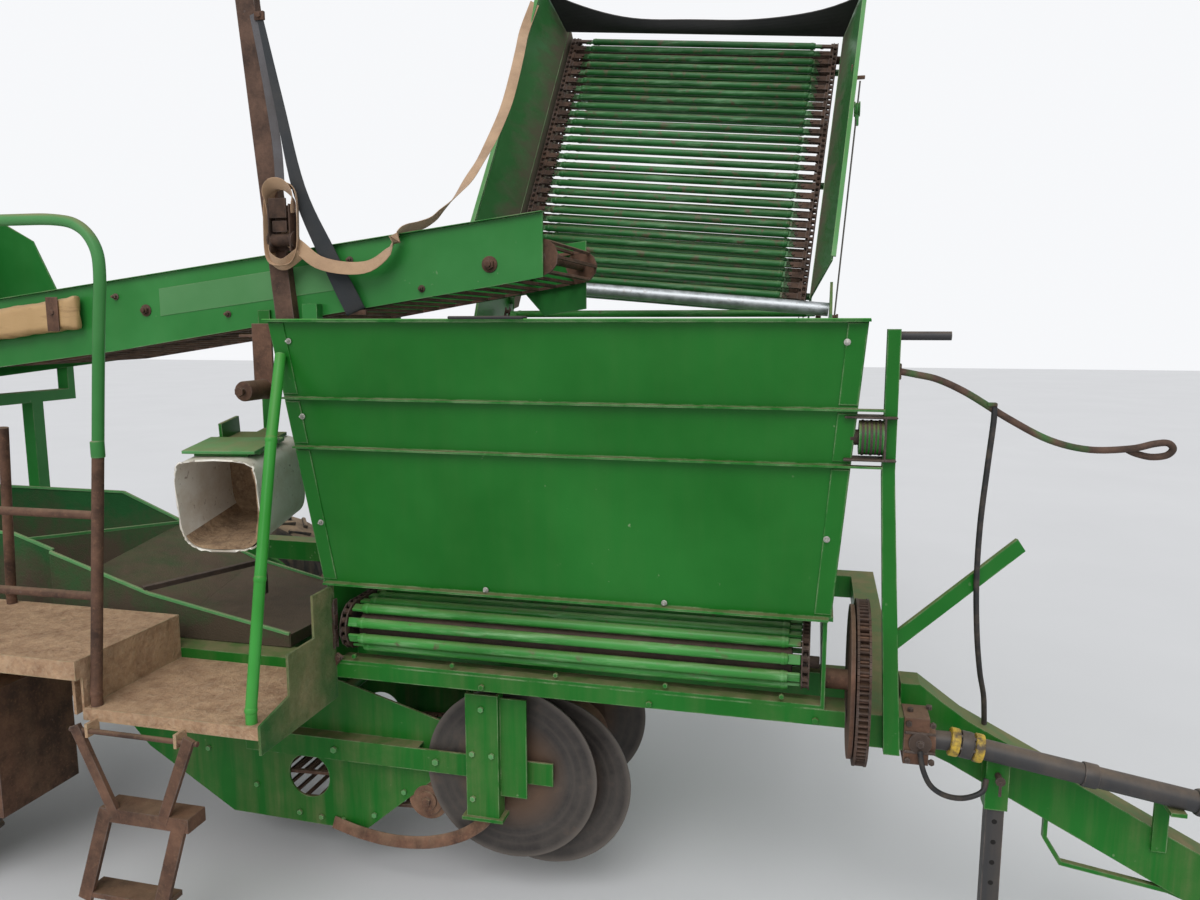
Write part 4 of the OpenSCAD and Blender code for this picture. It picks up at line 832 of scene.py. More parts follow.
def tyre(name, node_name, y, body):
    """Carcass spun round the axle, with bars standing on its tread."""
    mesh = bpy.data.meshes.new(name)
    outline = [(i, i + 1) for i in range(len(profile) - 1)] + [(len(profile) - 1, 0)]
    mesh.from_pydata([(r, w, 0.0) for r, w in profile], outline, [])
    carcass = bpy.data.objects.new(name, mesh)
    bpy.context.collection.objects.link(carcass)
    select_only(carcass)
    bpy.ops.object.mode_set(mode="EDIT")
    bpy.ops.mesh.select_all(action="SELECT")
    bpy.ops.mesh.spin(steps=72, angle=math.tau, center=(0, 0, 0), axis=(0, 1, 0))
    bpy.ops.mesh.select_all(action="SELECT")
    bpy.ops.mesh.remove_doubles(threshold=0.0002)
    bpy.ops.mesh.normals_make_consistent(inside=False)
    bpy.ops.object.mode_set(mode="OBJECT")
    bars = []
    for side in (-1, 1):
        for i in range(22):
            lug = box("lug", (-0.014, -0.068, 0.0), (0.014, 0.068, 0.024), 0.004)
            for v in lug.data.vertices:
                if v.co.z > 0.012:
                    v.co.x *= 0.78
                v.co.z -= 0.30 * max(0.0, abs(v.co.y + 0.068 * side) - 0.09)
            angle = math.tau * (i + 0.25 * side + 0.25) / 22
            lug.data.transform(Matrix.Rotation(angle, 4, "Y") @ Matrix.Translation((0, side * 0.068, 0.3975))
                               @ Matrix.Rotation(side * math.radians(38), 4, "Z"))
            bars.append(lug)
    whole = joined(name, bars + [carcass])
    whole.data.transform(Matrix.Translation((AXLE_X, y, TYRE_R)))
    settle(whole, name)
    dress(whole, tyre_rubber, body)
    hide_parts(node_name)


tyre("tyre_right_tread", "tyre_right", -1.27, "wheel_right")
tyre("tyre_left_tread", "tyre_left", 1.10, "wheel_left")
for name, y, face, body in (("right", -1.27, -1, "wheel_right"), ("left", 1.10, 1, "wheel_left")):
    studs = []
    for i in range(6):
        angle = math.tau * i / 6
        place = (AXLE_X + 0.105 * math.cos(angle), y + face * 0.014, TYRE_R + 0.105 * math.sin(angle))
        studs += [drum("nut", place, 0.016, 0.016, "Y", 6, 0.002),
                  drum("stud", (place[0], y + face * 0.020, place[2]), 0.008, 0.030, "Y", 12, 0.001)]
    studs += [drum("hub_cap", (AXLE_X, y + face * 0.055, TYRE_R), 0.048, 0.030, "Y", 32, 0.005),
              drum("valve", (AXLE_X + 0.165, y + face * 0.02, TYRE_R), 0.006, 0.05, "Y", 12, 0.001)]
    dress(joined(f"wheel_nuts_{name}", studs), rusty_steel, body)

# Bunker trim: rolled corner strips on the side sheet, zinc bolts near its ends, two bright
# green strips along the top lip as a painted highlight, and a black rubber pad clipped on the lip.
zinc_bolt, tree, shader = shader_of("zinc_bolt")
tone = noise(tree, object_place(tree), 70.0, 3.0)
coat(tree, shader, blend_colour(tree, spread(tree, tone, 0.35, 0.65), (0.30, 0.29, 0.26), (0.52, 0.51, 0.47)),
     spread(tree, tone, 0.3, 0.7, 0.35, 0.6), metal=0.6)

SIDE_Y, BUNKER_LOW, BUNKER_TOP = -1.09, 1.160, 2.020
REAR_LEAN, FRONT_LEAN, SIDE_LEAN, BUNKER_LONG = 0.125, 0.070, 0.060, 1.635


def side_point(x, z, proud=0.0):
    """Point on the bunker's near wall, x from its rear edge (0) to its front edge (1)."""
    t = (z - BUNKER_LOW) / (BUNKER_TOP - BUNKER_LOW)
    rear, front = -REAR_LEAN * t, BUNKER_LONG + FRONT_LEAN * t
    return Vector((rear + (front - rear) * x, SIDE_Y - SIDE_LEAN * t - proud, z))


def panel(name, corners, thick, edge=0.0008):
    """Thin sheet on four corners, thickened towards the machine and bevelled."""
    piece = mesh_piece(name, corners, [(0, 1, 2, 3)])
    thicken(piece, thick)
    if edge:
        rims = piece.modifiers.new("rims", "BEVEL")
        rims.width, rims.segments = edge, 1
        bpy.ops.object.modifier_apply(modifier="rims")
    return settle(piece, name)


strips = []
for x0, x1 in ((0.001, 0.030), (0.970, 0.999)):
    for low, high in ((1.172, 1.605), (1.628, 1.764), (1.787, 2.012)):
        corners = ((x0, low), (x1, low), (x1, high), (x0, high))
        strips.append(panel("corner_strip", [side_point(x, z, 0.002) for x, z in corners], 0.004))
dress(joined("bunker_corner_strips", strips), green_paint)
# Two thin bright green strips along the lip: a painted highlight on its edge.
lip_highlight_strips = [box("lip_edge", (-0.128, -1.1785, 2.0205), (1.708, -1.1725, 2.0245), 0.001),
             box("lip_back", (-0.120, -1.148, 2.0205), (1.700, -1.1425, 2.0245), 0.001)]
dress(joined("bunker_lip_beads", lip_highlight_strips), bright_green)
bolts = []
for x, z in ((0.034, 1.955), (0.030, 1.715), (0.022, 1.365), (0.972, 1.960), (0.976, 1.400), (0.35, 1.150),
             (0.70, 1.150)):
    spot = side_point(x, max(z, BUNKER_LOW + 0.012), 0.004)
    bolts += [drum("washer", tuple(spot), 0.0095, 0.004, "Y", 20, 0.001),
              bolt((spot.x, spot.y - 0.005, spot.z), 0.0065, 0.009),
              drum("thread", (spot.x, spot.y - 0.011, spot.z), 0.0035, 0.010, "Y", 10, 0.001)]
dress(joined("bunker_bolts", bolts), zinc_bolt)
pad = box("lip_pad", (0.500, -1.186, 2.0225), (0.735, -1.138, 2.032), 0.004, 3)
dress(pad, rubber)

# Picking conveyor: a flange of folded sheet along the top of its side panels, the bearing
# bolts of its rollers, and a bare pale strip where a sign used to be.
PICK_FRONT_X, PICK_TOP_Z = 0.635, 2.390


def pick_top(x):
    """Height of the picking conveyor's top edge at x."""
    return PICK_TOP_Z - PAD_FALL * (PICK_FRONT_X - x)


picking_paint = enamel("picking_paint", (0.013, 0.155, 0.022), (0.040, 0.230, 0.052), rough=0.3)
paint(bpy.data.objects["picking_frame"], picking_paint)

def flange(x0, x1, y0, y1):
    """Flange on the conveyor's top edge."""
    return panel("flange", [(x, y, pick_top(x) + 0.002) for x, y in ((x0, y0), (x1, y0), (x1, y1), (x0, y1))], 0.003)


flanges = [flange(-1.93, 0.375, -0.676, -0.640), flange(-1.93, 0.375, -0.070, -0.042),
           flange(0.375, 0.636, -0.676, -0.640)]
dress(joined("picking_flanges", flanges), picking_paint)
bolts = []
for x, drop, size in ((0.440, 0.150, 0.020), (-0.985, 0.130, 0.016), (-1.12, 0.06, 0.009), (-0.10, 0.06, 0.009),
                      (0.18, 0.20, 0.009), (-0.62, 0.19, 0.009), (-1.90, 0.16, 0.016)):
    z = pick_top(x) - drop
    bolts += [drum("washer", (x, -0.6595, z), size * 1.45, 0.005, "Y", 24, 0.001),
              drum("nut", (x, -0.667, z), size, 0.014, "Y", 6, 0.0015),
              drum("thread", (x, -0.676, z), size * 0.55, 0.014, "Y", 12, 0.001)]
dress(joined("picking_bolts", bolts), rusty_steel)
faded_paint = enamel("faded_paint", (0.055, 0.20, 0.060), (0.10, 0.26, 0.10), dust=0.5, wear=0.5, rough=0.5)
SIGN_CORNERS = ((-0.92, 0.160), (-0.17, 0.160), (-0.17, 0.055), (-0.92, 0.055))
faded = panel("bare_sign_place", [(x, -0.6595, pick_top(x) - drop) for x, drop in SIGN_CORNERS], 0.0015, 0.0004)
dress(faded, faded_paint)

# Strap gear on the rusty post: a ratchet with its wound-up strap, a tail of strap hanging
# down from the post's upper part, and a dark flat stay from the post to the conveyor.
POST_LOW, POST_HIGH = Vector((-0.343, -0.677, 1.900)), Vector((-0.468, -0.677, 3.300))


def on_post(z, out_x=0.0, y=-0.700):
    """Point at a height beside the leaning strap post."""
    t = (z - POST_LOW.z) / (POST_HIGH.z - POST_LOW.z)
    return Vector((POST_LOW.x + (POST_HIGH.x - POST_LOW.x) * t + out_x, y, z))


def strap_ring(middle, half_wide, half_tall, y, lean, width):
    """Loop of strap with squared shoulders round the ratchet."""
    ring, sides = [], []
    for k in range(33):
        angle = math.tau * k / 32
        ca, sa = math.cos(angle), math.sin(angle)
        ring.append(Vector((middle.x + half_wide * math.copysign(abs(ca) ** 0.55, ca) + lean * sa, y + 0.006 * sa,
                            middle.z + half_tall * math.copysign(abs(sa) ** 0.55, sa))))
        sides.append(Vector((-0.42 * ca, 1.0, -0.42 * sa)))
    return ribbon("loop", ring, sides, width, 0.0035)


post_rust = rusted("post_rust", size=1.2, dust=0.2, metal=0.1, dark=0.50)
paint(bpy.data.objects["strap_post"], post_rust)
loops = [strap_ring(Vector((-0.330, 0, 2.365)), 0.060, 0.138, -0.716, 0.006, 0.044)]
fold = smooth_route([(-0.383, -0.722, 2.405), (-0.380, -0.734, 2.470), (-0.350, -0.742, 2.505),
                     (-0.306, -0.740, 2.500), (-0.276, -0.736, 2.462), (-0.279, -0.728, 2.405)], 5)
fold_sides = [Vector((0.15, -0.55, 0.8 - 0.9 * abs(i / len(fold) - 0.5))) for i in range(len(fold))]
loops.append(ribbon("fold", fold, fold_sides, 0.046, 0.0035))
lower = smooth_route([(-0.385, -0.724, 2.300), (-0.372, -0.734, 2.245), (-0.320, -0.740, 2.222),
                      (-0.262, -0.724, 2.262)], 5)
loops.append(ribbon("turn", lower, [Vector((0.1, -0.4, 0.9))] * len(lower), 0.044, 0.0035))
dress(joined("strap_loops", loops), strap_cloth)
tail = smooth_route([on_post(3.10, 0.030), on_post(2.95, 0.044), on_post(2.80, 0.054), on_post(2.64, 0.060),
                     on_post(2.505, 0.052)], 5)
strap_tail = ribbon("strap_tail", tail, [Vector((1, -0.25 + 0.5 * i / len(tail), 0)) for i in range(len(tail))],
                    0.034, 0.003)
grey_cloth = cloth_finish("grey_strap_cloth", (0.105, 0.10, 0.11), (0.060, 0.052, 0.052), (0.15, 0.14, 0.135))
dress(strap_tail, grey_cloth)
m = Vector((-0.328, 0.0, 2.365))
ratchet = [box("frame", (m.x - 0.046, -0.746, m.z - 0.098), (m.x - 0.040, -0.700, m.z + 0.070), 0.002, 2),
           box("frame", (m.x + 0.038, -0.746, m.z - 0.098), (m.x + 0.044, -0.700, m.z + 0.070), 0.002, 2),
           drum("drum", (m.x - 0.001, -0.722, m.z - 0.055), 0.023, 0.084, "X", 20, 0.002),
           drum("wheel", (m.x - 0.048, -0.722, m.z - 0.055), 0.030, 0.005, "X", 14, 0.001),
           drum("wheel", (m.x + 0.047, -0.722, m.z - 0.055), 0.030, 0.005, "X", 14, 0.001),
           drum("pin", (m.x - 0.001, -0.716, m.z + 0.040), 0.008, 0.092, "X", 16, 0.001),
           box("base", (m.x - 0.044, -0.704, m.z - 0.090), (m.x + 0.042, -0.699, m.z + 0.070), 0.001),
           box("pawl", (m.x - 0.030, -0.742, m.z - 0.028), (m.x + 0.028, -0.735, m.z + 0.012), 0.002, 2),
           box("handle", (m.x - 0.036, -0.752, m.z + 0.020), (m.x + 0.034, -0.744, m.z + 0.090), 0.003, 2)]
dress(joined("ratchet", ratchet), chain_rust)
stay_line = [Vector((-0.392, -0.704, 3.090)), Vector((-0.330, -0.706, 2.790)), Vector((-0.265, -0.706, 2.487)),
             Vector((-0.175, -0.694, 2.270)), Vector((-0.084, -0.680, 2.076)), Vector((-0.076, -0.668, 2.052))]
stay_line = smooth_route(stay_line, 6)
points, faces = [], []
for i, p in enumerate(stay_line):
    half = 0.010 + 0.026 * min(1.0, i / 22)
    points += [p + Vector((-half, 0, -0.4 * half)), p + Vector((half, 0, 0.4 * half))]
faces = [(2 * i, 2 * i + 1, 2 * i + 3, 2 * i + 2) for i in range(len(stay_line) - 1)]
stay = mesh_piece("post_stay", points, faces)
thicken(stay, 0.004)
settle(stay, "post_stay")
dark_cloth = cloth_finish("dark_strap_cloth", (0.018, 0.022, 0.026), (0.045, 0.042, 0.040),
                          (0.050, 0.056, 0.062), 0.8)
dress(stay, dark_cloth)
stay_ends = [box("stay_hook", (-0.112, -0.674, 2.040), (-0.036, -0.660, 2.060), 0.003, 2),
             box("stay_clip", (-0.410, -0.712, 3.075), (-0.372, -0.700, 3.105), 0.002, 2),
             bolt((-0.391, -0.714, 3.090), 0.010, 0.010)]
dress(joined("stay_fittings", stay_ends), rusty_steel)

# Web drive wheel: a roller chain lies round the big sprocket, and the hub is bolted on.
# The chain is dry and rusty.
WHEEL_Y, WHEEL_Z, TOOTH_X, TOOTH_R = -1.025, 0.954, 1.726, 0.232
frames = []
for i in range(80):
    angle = math.tau * i / 80
    place = (TOOTH_X, WHEEL_Y + TOOTH_R * math.cos(angle), WHEEL_Z + TOOTH_R * math.sin(angle))
    frames.append(Matrix.Translation(place) @ Matrix.Rotation(angle + math.pi / 2, 4, "X")
                  @ Matrix.Scale(0.46, 4, (0, 1, 0)) @ Matrix.Scale(1.6, 4, (1, 0, 0)))
dress(copies("drive_chain", chain_link(), frames), chain_rust)
nuts = []
for k in range(5):
    angle = k * math.tau / 5
    nuts.append(bolt((1.738, WHEEL_Y + 0.05 * math.cos(angle), WHEEL_Z + 0.05 * math.sin(angle)), 0.010, 0.012, "X"))
dress(joined("drive_wheel_nuts", nuts), rusty_steel)

# Crop hopper and second channel: welded green sheets that lead the crop back and up.
# Their paint is a darker green with darker dust, as painted shade, and turns dark brown towards
# the bottom. Their top edges are folded and rubbed pale, with a painted edge highlight.
shaded_hopper_paint, tree, shader = shader_of("shaded_hopper_paint")
spot = object_place(tree)
clods = noise(tree, spot, 5.0, 9.0, 0.72)
level = maths(tree, "ADD", node(tree, "SeparateXYZ", {0: spot}).outputs["Z"],
              spread(tree, clods, 0.3, 0.7, 0.16, -0.16))
soil = spread(tree, level, 1.22, 0.94, 0.0, 0.96)
# Darker green than the paint elsewhere: painted shade inside the hopper.
worn, colour = aged(tree, 0.45, 0.7, (0.006, 0.060, 0.014), (0.016, 0.105, 0.026))
colour = chipped(tree, worn, colour, (0.28, 0.34, 0.22))
# Dark brown towards the bottom of the sheets.
colour = blend_colour(tree, soil, colour, (0.072, 0.050, 0.034))
# The dust here is the field dust at half brightness: painted shade.
coat(tree, shader, blend_colour(tree, worn.outputs["Dust"], colour, (0.15, 0.10, 0.065)), 0.8,
     (maths(tree, "ADD", clods, worn.outputs["Grain"]), 0.5, 0.006), level=0.25)


def plate(name, corners, thick, edge=0.0008):
    """Flat sheet on any number of corners, with a thickness and bevelled edges."""
    piece = mesh_piece(name, corners, [tuple(range(len(corners)))])
    thicken(piece, thick)
    bpy.ops.object.mode_set(mode="EDIT")
    bpy.ops.mesh.select_all(action="SELECT")
    bpy.ops.mesh.normals_make_consistent(inside=False)
    bpy.ops.mesh.bevel(offset=edge, segments=1, affect="EDGES")
    bpy.ops.object.mode_set(mode="OBJECT")
    return settle(piece, name)


def edge_bar(name, a, b, size):
    """Thin folded edge from a to b."""
    a, b = Vector(a), Vector(b)
    piece = box(name, (0.0, -size / 2, -size / 2), ((b - a).length, size / 2, size / 2), 0.001)
    piece.data.transform(Matrix.Translation(a) @ (b - a).to_track_quat("X", "Z").to_matrix().to_4x4())
    return piece


near_top = [(-2.448, 1.246), (-1.364, 1.222), (-0.764, 1.036), (-0.196, 0.930)]
far_top = [(-2.448, 1.246), (-1.491, 1.246), (-0.814, 0.976), (-0.500, 0.905), (-0.196, 0.900)]
channel_foot = [(-2.380, 0.885), (-2.380, 0.790), (-1.500, 0.645), (-1.190, 0.565)]
WALL_NEAR, WALL_FAR, HOPPER_NEAR, HOPPER_FAR = -0.986, -0.276, -1.006, -0.280


def upright(name, y, corners):
    """Upright sheet of 6 mm at one y, from (x, z) corners."""
    return plate(name, [(x, y, z) for x, z in corners], 0.006)


sheets = [upright("channel_wall", y, top[:2] + [(-1.190, z)] + channel_foot[::-1] + [(-2.448, 0.885)])
          for y, top, z in ((WALL_NEAR, near_top, 1.168), (WALL_FAR, far_top, 1.126))]
sheets += [upright("hopper_wall", HOPPER_NEAR, [(-1.185, 1.166)] + near_top[2:] + [(-0.196, 0.884), (-1.185, 0.884)]),
           upright("hopper_wall", HOPPER_FAR, [(-1.185, 1.124)] + far_top[2:] + [(-0.196, 0.884), (-1.185, 0.884)]),
           plate("hopper_end", [(-0.196, HOPPER_NEAR, 0.930), (-0.196, HOPPER_FAR, 0.900),
                                (-0.196, HOPPER_FAR, 0.884), (-0.196, HOPPER_NEAR, 0.884)], 0.006),
           plate("hopper_slope", [(-1.187, -0.290, 1.120), (-0.814, -0.290, 0.972), (-0.700, -0.980, 0.905),
                                  (-1.187, -0.980, 1.020)], 0.005),
           plate("hopper_slope", [(-0.814, -0.290, 0.972), (-0.500, -0.290, 0.903), (-0.205, -0.290, 0.896),
                                  (-0.205, -0.980, 0.892), (-0.700, -0.980, 0.905)], 0.005)]
hopper = joined("hopper_sheets", sheets)
dress(hopper, shaded_hopper_paint)
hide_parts("web_channel")
edges = []
for row, y in ((near_top[:2] + [(-1.190, 1.168)], WALL_NEAR), ([(-1.185, 1.166)] + near_top[2:], HOPPER_NEAR),
               (far_top, HOPPER_FAR)):
    edges += [edge_bar("fold", (a[0], y, a[1] + 0.002), (b[0], y, b[1] + 0.002), 0.011) for a, b in zip(row, row[1:])]
edges.append(edge_bar("brace", (-1.300, -0.986, 1.205), (-1.180, -0.280, 1.126), 0.012))
dress(joined("hopper_edges", edges), lip_green)
hopper_rod = edge_bar("hopper_rod", (-0.790, -1.004, 1.052), (-0.545, -0.620, 1.075), 0.020)
bevelled = hopper_rod.modifiers.new("round", "BEVEL")
bevelled.width, bevelled.segments = 0.006, 3
bpy.ops.object.modifier_apply(modifier="round")
rod_stand = [hopper_rod, box("rod_stand", (-0.556, -0.632, 0.940), (-0.540, -0.612, 1.078), 0.002)]
dress(joined("hopper_rod", rod_stand), caked_and_shaded_steel)

# Waste chute: a white plastic canister cut open at both ends, hung from its bracket by a
# strap of steel. It is stained outside, and brown soil lies along its floor.
CHUTE = (Matrix.Translation((-0.391, -1.090, 1.393)) @ Matrix.Rotation(math.radians(10), 4, "Z")
         @ Matrix.Rotation(math.radians(-84), 4, "X"))
CHUTE_W, CHUTE_H, CHUTE_N = 0.145, 0.162, 64


def chute_point(angle, depth, inset=0.0):
    """Point on the canister's skin: a rounded square whose lower corners are cut more."""
    ca, sa = math.cos(angle), math.sin(angle)
    power = 0.34 if sa < 0 else 0.52
    x = (CHUTE_W - inset) * math.copysign(abs(ca) ** power, ca)
    y = (CHUTE_H - inset) * math.copysign(abs(sa) ** power, sa)
    return CHUTE @ Vector((x, y, depth))


white_plastic, tree, shader = shader_of("white_plastic")
spot = object_place(tree)
stain = noise(tree, object_place(tree, (9.0, 3.0, 4.0)), 1.2, 8.0, 0.7)
worn = use_group(tree, weather, Dust=0.5, Wear=0.0, Size=1.0)
colour = blend_colour(tree, spread(tree, stain, 0.45, 0.75), (0.80, 0.775, 0.70), (0.56, 0.47, 0.345))
colour = blend_colour(tree, spread(tree, noise(tree, spot, 38.0, 5.0), 0.62, 0.72, 0.0, 0.7), colour,
                      (0.22, 0.15, 0.09))
coat(tree, shader, blend_colour(tree, worn.outputs["Dust"], colour, (0.36, 0.27, 0.17)), 0.5, (stain, 0.2, 0.002))

soil_crust, tree, shader = shader_of("soil_crust")
spot = object_place(tree)
clods = noise(tree, spot, 16.0, 10.0, 0.75)
crumbs = noise(tree, spot, 90.0, 6.0, 0.7)
colour = blend_colour(tree, spread(tree, clods, 0.38, 0.62), (0.19, 0.120, 0.072), (0.42, 0.280, 0.165))
colour = blend_colour(tree, spread(tree, crumbs, 0.5, 0.7, 0.0, 0.6), colour, (0.52, 0.38, 0.24))
coat(tree, shader, colour, 1.0, (maths(tree, "ADD", clods, crumbs), 0.8, 0.008))

depths = (0.0, 0.004, 0.05, 0.12, 0.20, 0.28, 0.34, 0.396, 0.400)
points, faces = [], []
for depth in depths:
    for k in range(CHUTE_N):
        angle = math.tau * k / CHUTE_N
        waves = math.sin(3.0 * angle + 0.6) * math.sin(11.0 * angle)
        ragged = 0.005 * waves * max(0.0, 1.0 - depth / 0.05) + 0.005 * (depth == 0.0)
        points.append(chute_point(angle, depth + abs(ragged), 0.001 + 0.002 * math.sin(depth * 60.0) ** 2))
for j in range(len(depths) - 1):
    for k in range(CHUTE_N):
        a, b = j * CHUTE_N + k, j * CHUTE_N + (k + 1) % CHUTE_N
        faces.append((a, a + CHUTE_N, b + CHUTE_N, b))
canister = mesh_piece("waste_chute_shell", points, faces)
outward(canister)
thicken(canister, 0.0045, -1.0)
settle(canister, "waste_chute_shell")
dress(canister, white_plastic)
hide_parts("waste_chute")

points, rows, columns = [], 24, 40
for layer in (0, 1):
    for j in range(rows + 1):
        for i in range(columns + 1):
            t, depth = i / columns, 0.008 + 0.384 * j / rows
            angle = math.radians(-42) + math.radians(192) * t
            heap = math.sin(math.pi * t) ** 0.7
            lump = 0.5 + 0.5 * math.sin(23.0 * t + 5.0 * math.sin(9.0 * depth)) * math.sin(31.0 * depth + 6.0 * t)
            inset = 0.0068 if layer == 0 else 0.0078 + heap * (0.004 + 0.011 * lump + 0.010 * depth)
            points.append(chute_point(angle, depth, inset))
crust = mesh_piece("chute_soil", points, sheet_faces(columns, rows))
outward(crust)
settle(crust, "chute_soil")
dress(crust, soil_crust)
back = plate("chute_back", [tuple(chute_point(math.tau * k / 32, 0.388, 0.007)) for k in range(32)], 0.003)
dress(back, soil_crust)
saddle = [box("arm", (k * 0.112 - 0.012, -0.176, 0.090), (k * 0.112 + 0.012, -0.162, 0.300), 0.002) for k in (-1, 1)]
saddle.append(box("cap", (-0.128, -0.186, 0.040), (0.128, -0.174, 0.250), 0.003, 2))
for part in saddle:
    part.data.transform(CHUTE)
dress(joined("chute_saddle", saddle), lip_green)
guide_roller = joined("chute_roller", [
    drum("roller", (-0.400, -0.840, 1.772), 0.036, 0.130, "Y", 32, 0.006),
    drum("pin", (-0.400, -0.840, 1.772), 0.011, 0.175, "Y", 16, 0.001),
    drum("nut", (-0.400, -0.925, 1.772), 0.018, 0.014, "Y", 6, 0.002),
    box("cheek", (-0.440, -0.780, 1.735), (-0.360, -0.772, 2.010), 0.002),
    box("hanger", (-0.500, -0.772, 1.960), (-0.360, -0.664, 1.970), 0.002)])
dress(guide_roller, rusty_steel)

# Front end: bolts and ribs of the bevel gearbox, the clutch of the cardan shaft with its
# yellow guard collar, the jack's pin holes as black discs of painted shade, and the grooved pulley on the post.
yellow_guard, tree, shader = shader_of("yellow_guard")
grime = noise(tree, object_place(tree), 30.0, 6.0, 0.7)
coat(tree, shader, blend_colour(tree, spread(tree, grime, 0.42, 0.62), (0.50, 0.33, 0.035), (0.070, 0.050, 0.030)),
     0.6, (grime, 0.3, 0.002))
gear = [bolt((x, -1.104, z), 0.009, 0.012) for x in (1.862, 1.928) for z in (0.758, 0.870)]
gear += [bolt((x, y, 0.889), 0.009, 0.012, "Z") for x, y in ((1.870, -1.050), (1.925, -1.020))]
gear += [drum("cover", (1.895, -1.103, 0.812), 0.032, 0.010, "Y", 32, 0.003),
         bolt((1.895, -1.112, 0.812), 0.010, 0.010),
         box("rib", (1.852, -1.106, 0.780), (1.938, -1.100, 0.788), 0.002),
         box("rib", (1.852, -1.106, 0.838), (1.938, -1.100, 0.846), 0.002)]
dress(joined("gearbox_bolts", gear), caked_and_shaded_steel)
SHAFT_A, SHAFT_B = Vector((1.985, -1.050, 0.805)), Vector((2.700, -1.050, 0.690))
SHAFT_TURN = (SHAFT_B - SHAFT_A).to_track_quat("X", "Z").to_matrix().to_4x4()


def on_shaft(piece, along):
    """Moves a piece modelled at the origin along X to its place on the cardan shaft."""
    piece.data.transform(Matrix.Translation(SHAFT_A.lerp(SHAFT_B, along)) @ SHAFT_TURN)
    return piece


collars = [on_shaft(drum("collar", (0, 0, 0), 0.041, 0.026, "X", 32, 0.004), t) for t in (0.012, 0.105)]
dress(joined("shaft_collars", collars), yellow_guard)
clutch = [on_shaft(drum("clutch", (0, 0, 0), 0.039, 0.034, "X", 32, 0.004), 0.058),
          on_shaft(drum("sleeve", (0, 0, 0), 0.0345, 0.040, "X", 32, 0.003), 0.52),
          on_shaft(drum("bell", (0, 0, 0), 0.0375, 0.050, "X", 32, 0.010), 0.93)]
for k in range(6):
    angle = math.tau * k / 6
    stud = drum("clutch_bolt", (0.0, 0.033 * math.cos(angle), 0.033 * math.sin(angle)), 0.005, 0.046, "X", 8, 0.001)
    clutch.append(on_shaft(stud, 0.058))
dress(joined("shaft_clutch", clutch), black_steel)
# The pin holes are thin near-black discs on the jack: painted shade, not cut holes.
holes = [drum("hole", (2.125, -1.0111, 0.16 + 0.065 * i), 0.0075, 0.0006, "Y", 20, 0.0001) for i in range(8)]
hole_painted_shade, tree, shader = shader_of("hole_painted_shade")
depth_tone = noise(tree, object_place(tree), 60.0, 3.0)
coat(tree, shader, blend_colour(tree, depth_tone, (0.004, 0.004, 0.004), (0.014, 0.011, 0.009)), 1.0)
dress(joined("jack_holes", holes), hole_painted_shade, "jack")
pin = [drum("pin", (2.125, -1.030, 0.700), 0.009, 0.060, "Y", 20, 0.001),
       drum("pin_head", (2.125, -1.058, 0.700), 0.014, 0.006, "Y", 20, 0.001),
       box("pin_ring", (2.121, -1.062, 0.655), (2.129, -1.057, 0.700), 0.001)]
dress(joined("jack_pin", pin), caked_and_shaded_steel)
pulley = [drum("groove", (1.700 + 0.0115 * i, -1.110, 1.696), radius, 0.0075, "X", 40, 0.002)
          for i, radius in enumerate((0.0500, 0.0485, 0.0500, 0.0485, 0.0500))]
pulley += [drum("hub", (1.680, -1.110, 1.696), 0.022, 0.030, "X", 24, 0.003),
           box("guide", (1.650, -1.155, 1.752), (1.790, -1.075, 1.758), 0.002),
           box("guide", (1.650, -1.155, 1.634), (1.790, -1.075, 1.640), 0.002),
           box("guide_back", (1.756, -1.155, 1.634), (1.762, -1.130, 1.758), 0.002)]
dress(joined("post_pulley", pulley), caked_and_shaded_steel)

# Hydraulic hoses: black rubber, 16 mm. One hangs from the bent rod to the drawbar, and one
# loops from the gearbox to the jack's sleeve. The bent rod is made in the same way.
hose_rubber, tree, shader = shader_of("hose_rubber")
grime = noise(tree, object_place(tree), 24.0, 6.0, 0.7)
coat(tree, shader, blend_colour(tree, spread(tree, grime, 0.45, 0.70), (0.012, 0.012, 0.013), (0.070, 0.052, 0.038)),
     spread(tree, grime, 0.3, 0.7, 0.45, 0.8), (grime, 0.2, 0.001))


def hose(name, points, radius, steps=6):
    """Round hose along a smooth route, closed at both ends; gives the piece, its route and its length."""
    route = smooth_route(points, steps)
    ring, corners = 12, []
    side = Vector((0.3, 1.0, 0.1))
    for i, p in enumerate(route):
        ahead = heading(route, i)
        side = (side - ahead * side.dot(ahead)).normalized()
        other = ahead.cross(side)
        corners += [p + (side * math.cos(math.tau * k / ring) + other * math.sin(math.tau * k / ring)) * radius
                    for k in range(ring)]
    piece = mesh_piece(name, corners, tube_faces(len(route), ring))
    outward(piece)
    bpy.ops.object.shade_smooth_by_angle(angle=math.radians(50))
    return piece, route, sum((b - a).length for a, b in zip(route, route[1:]))


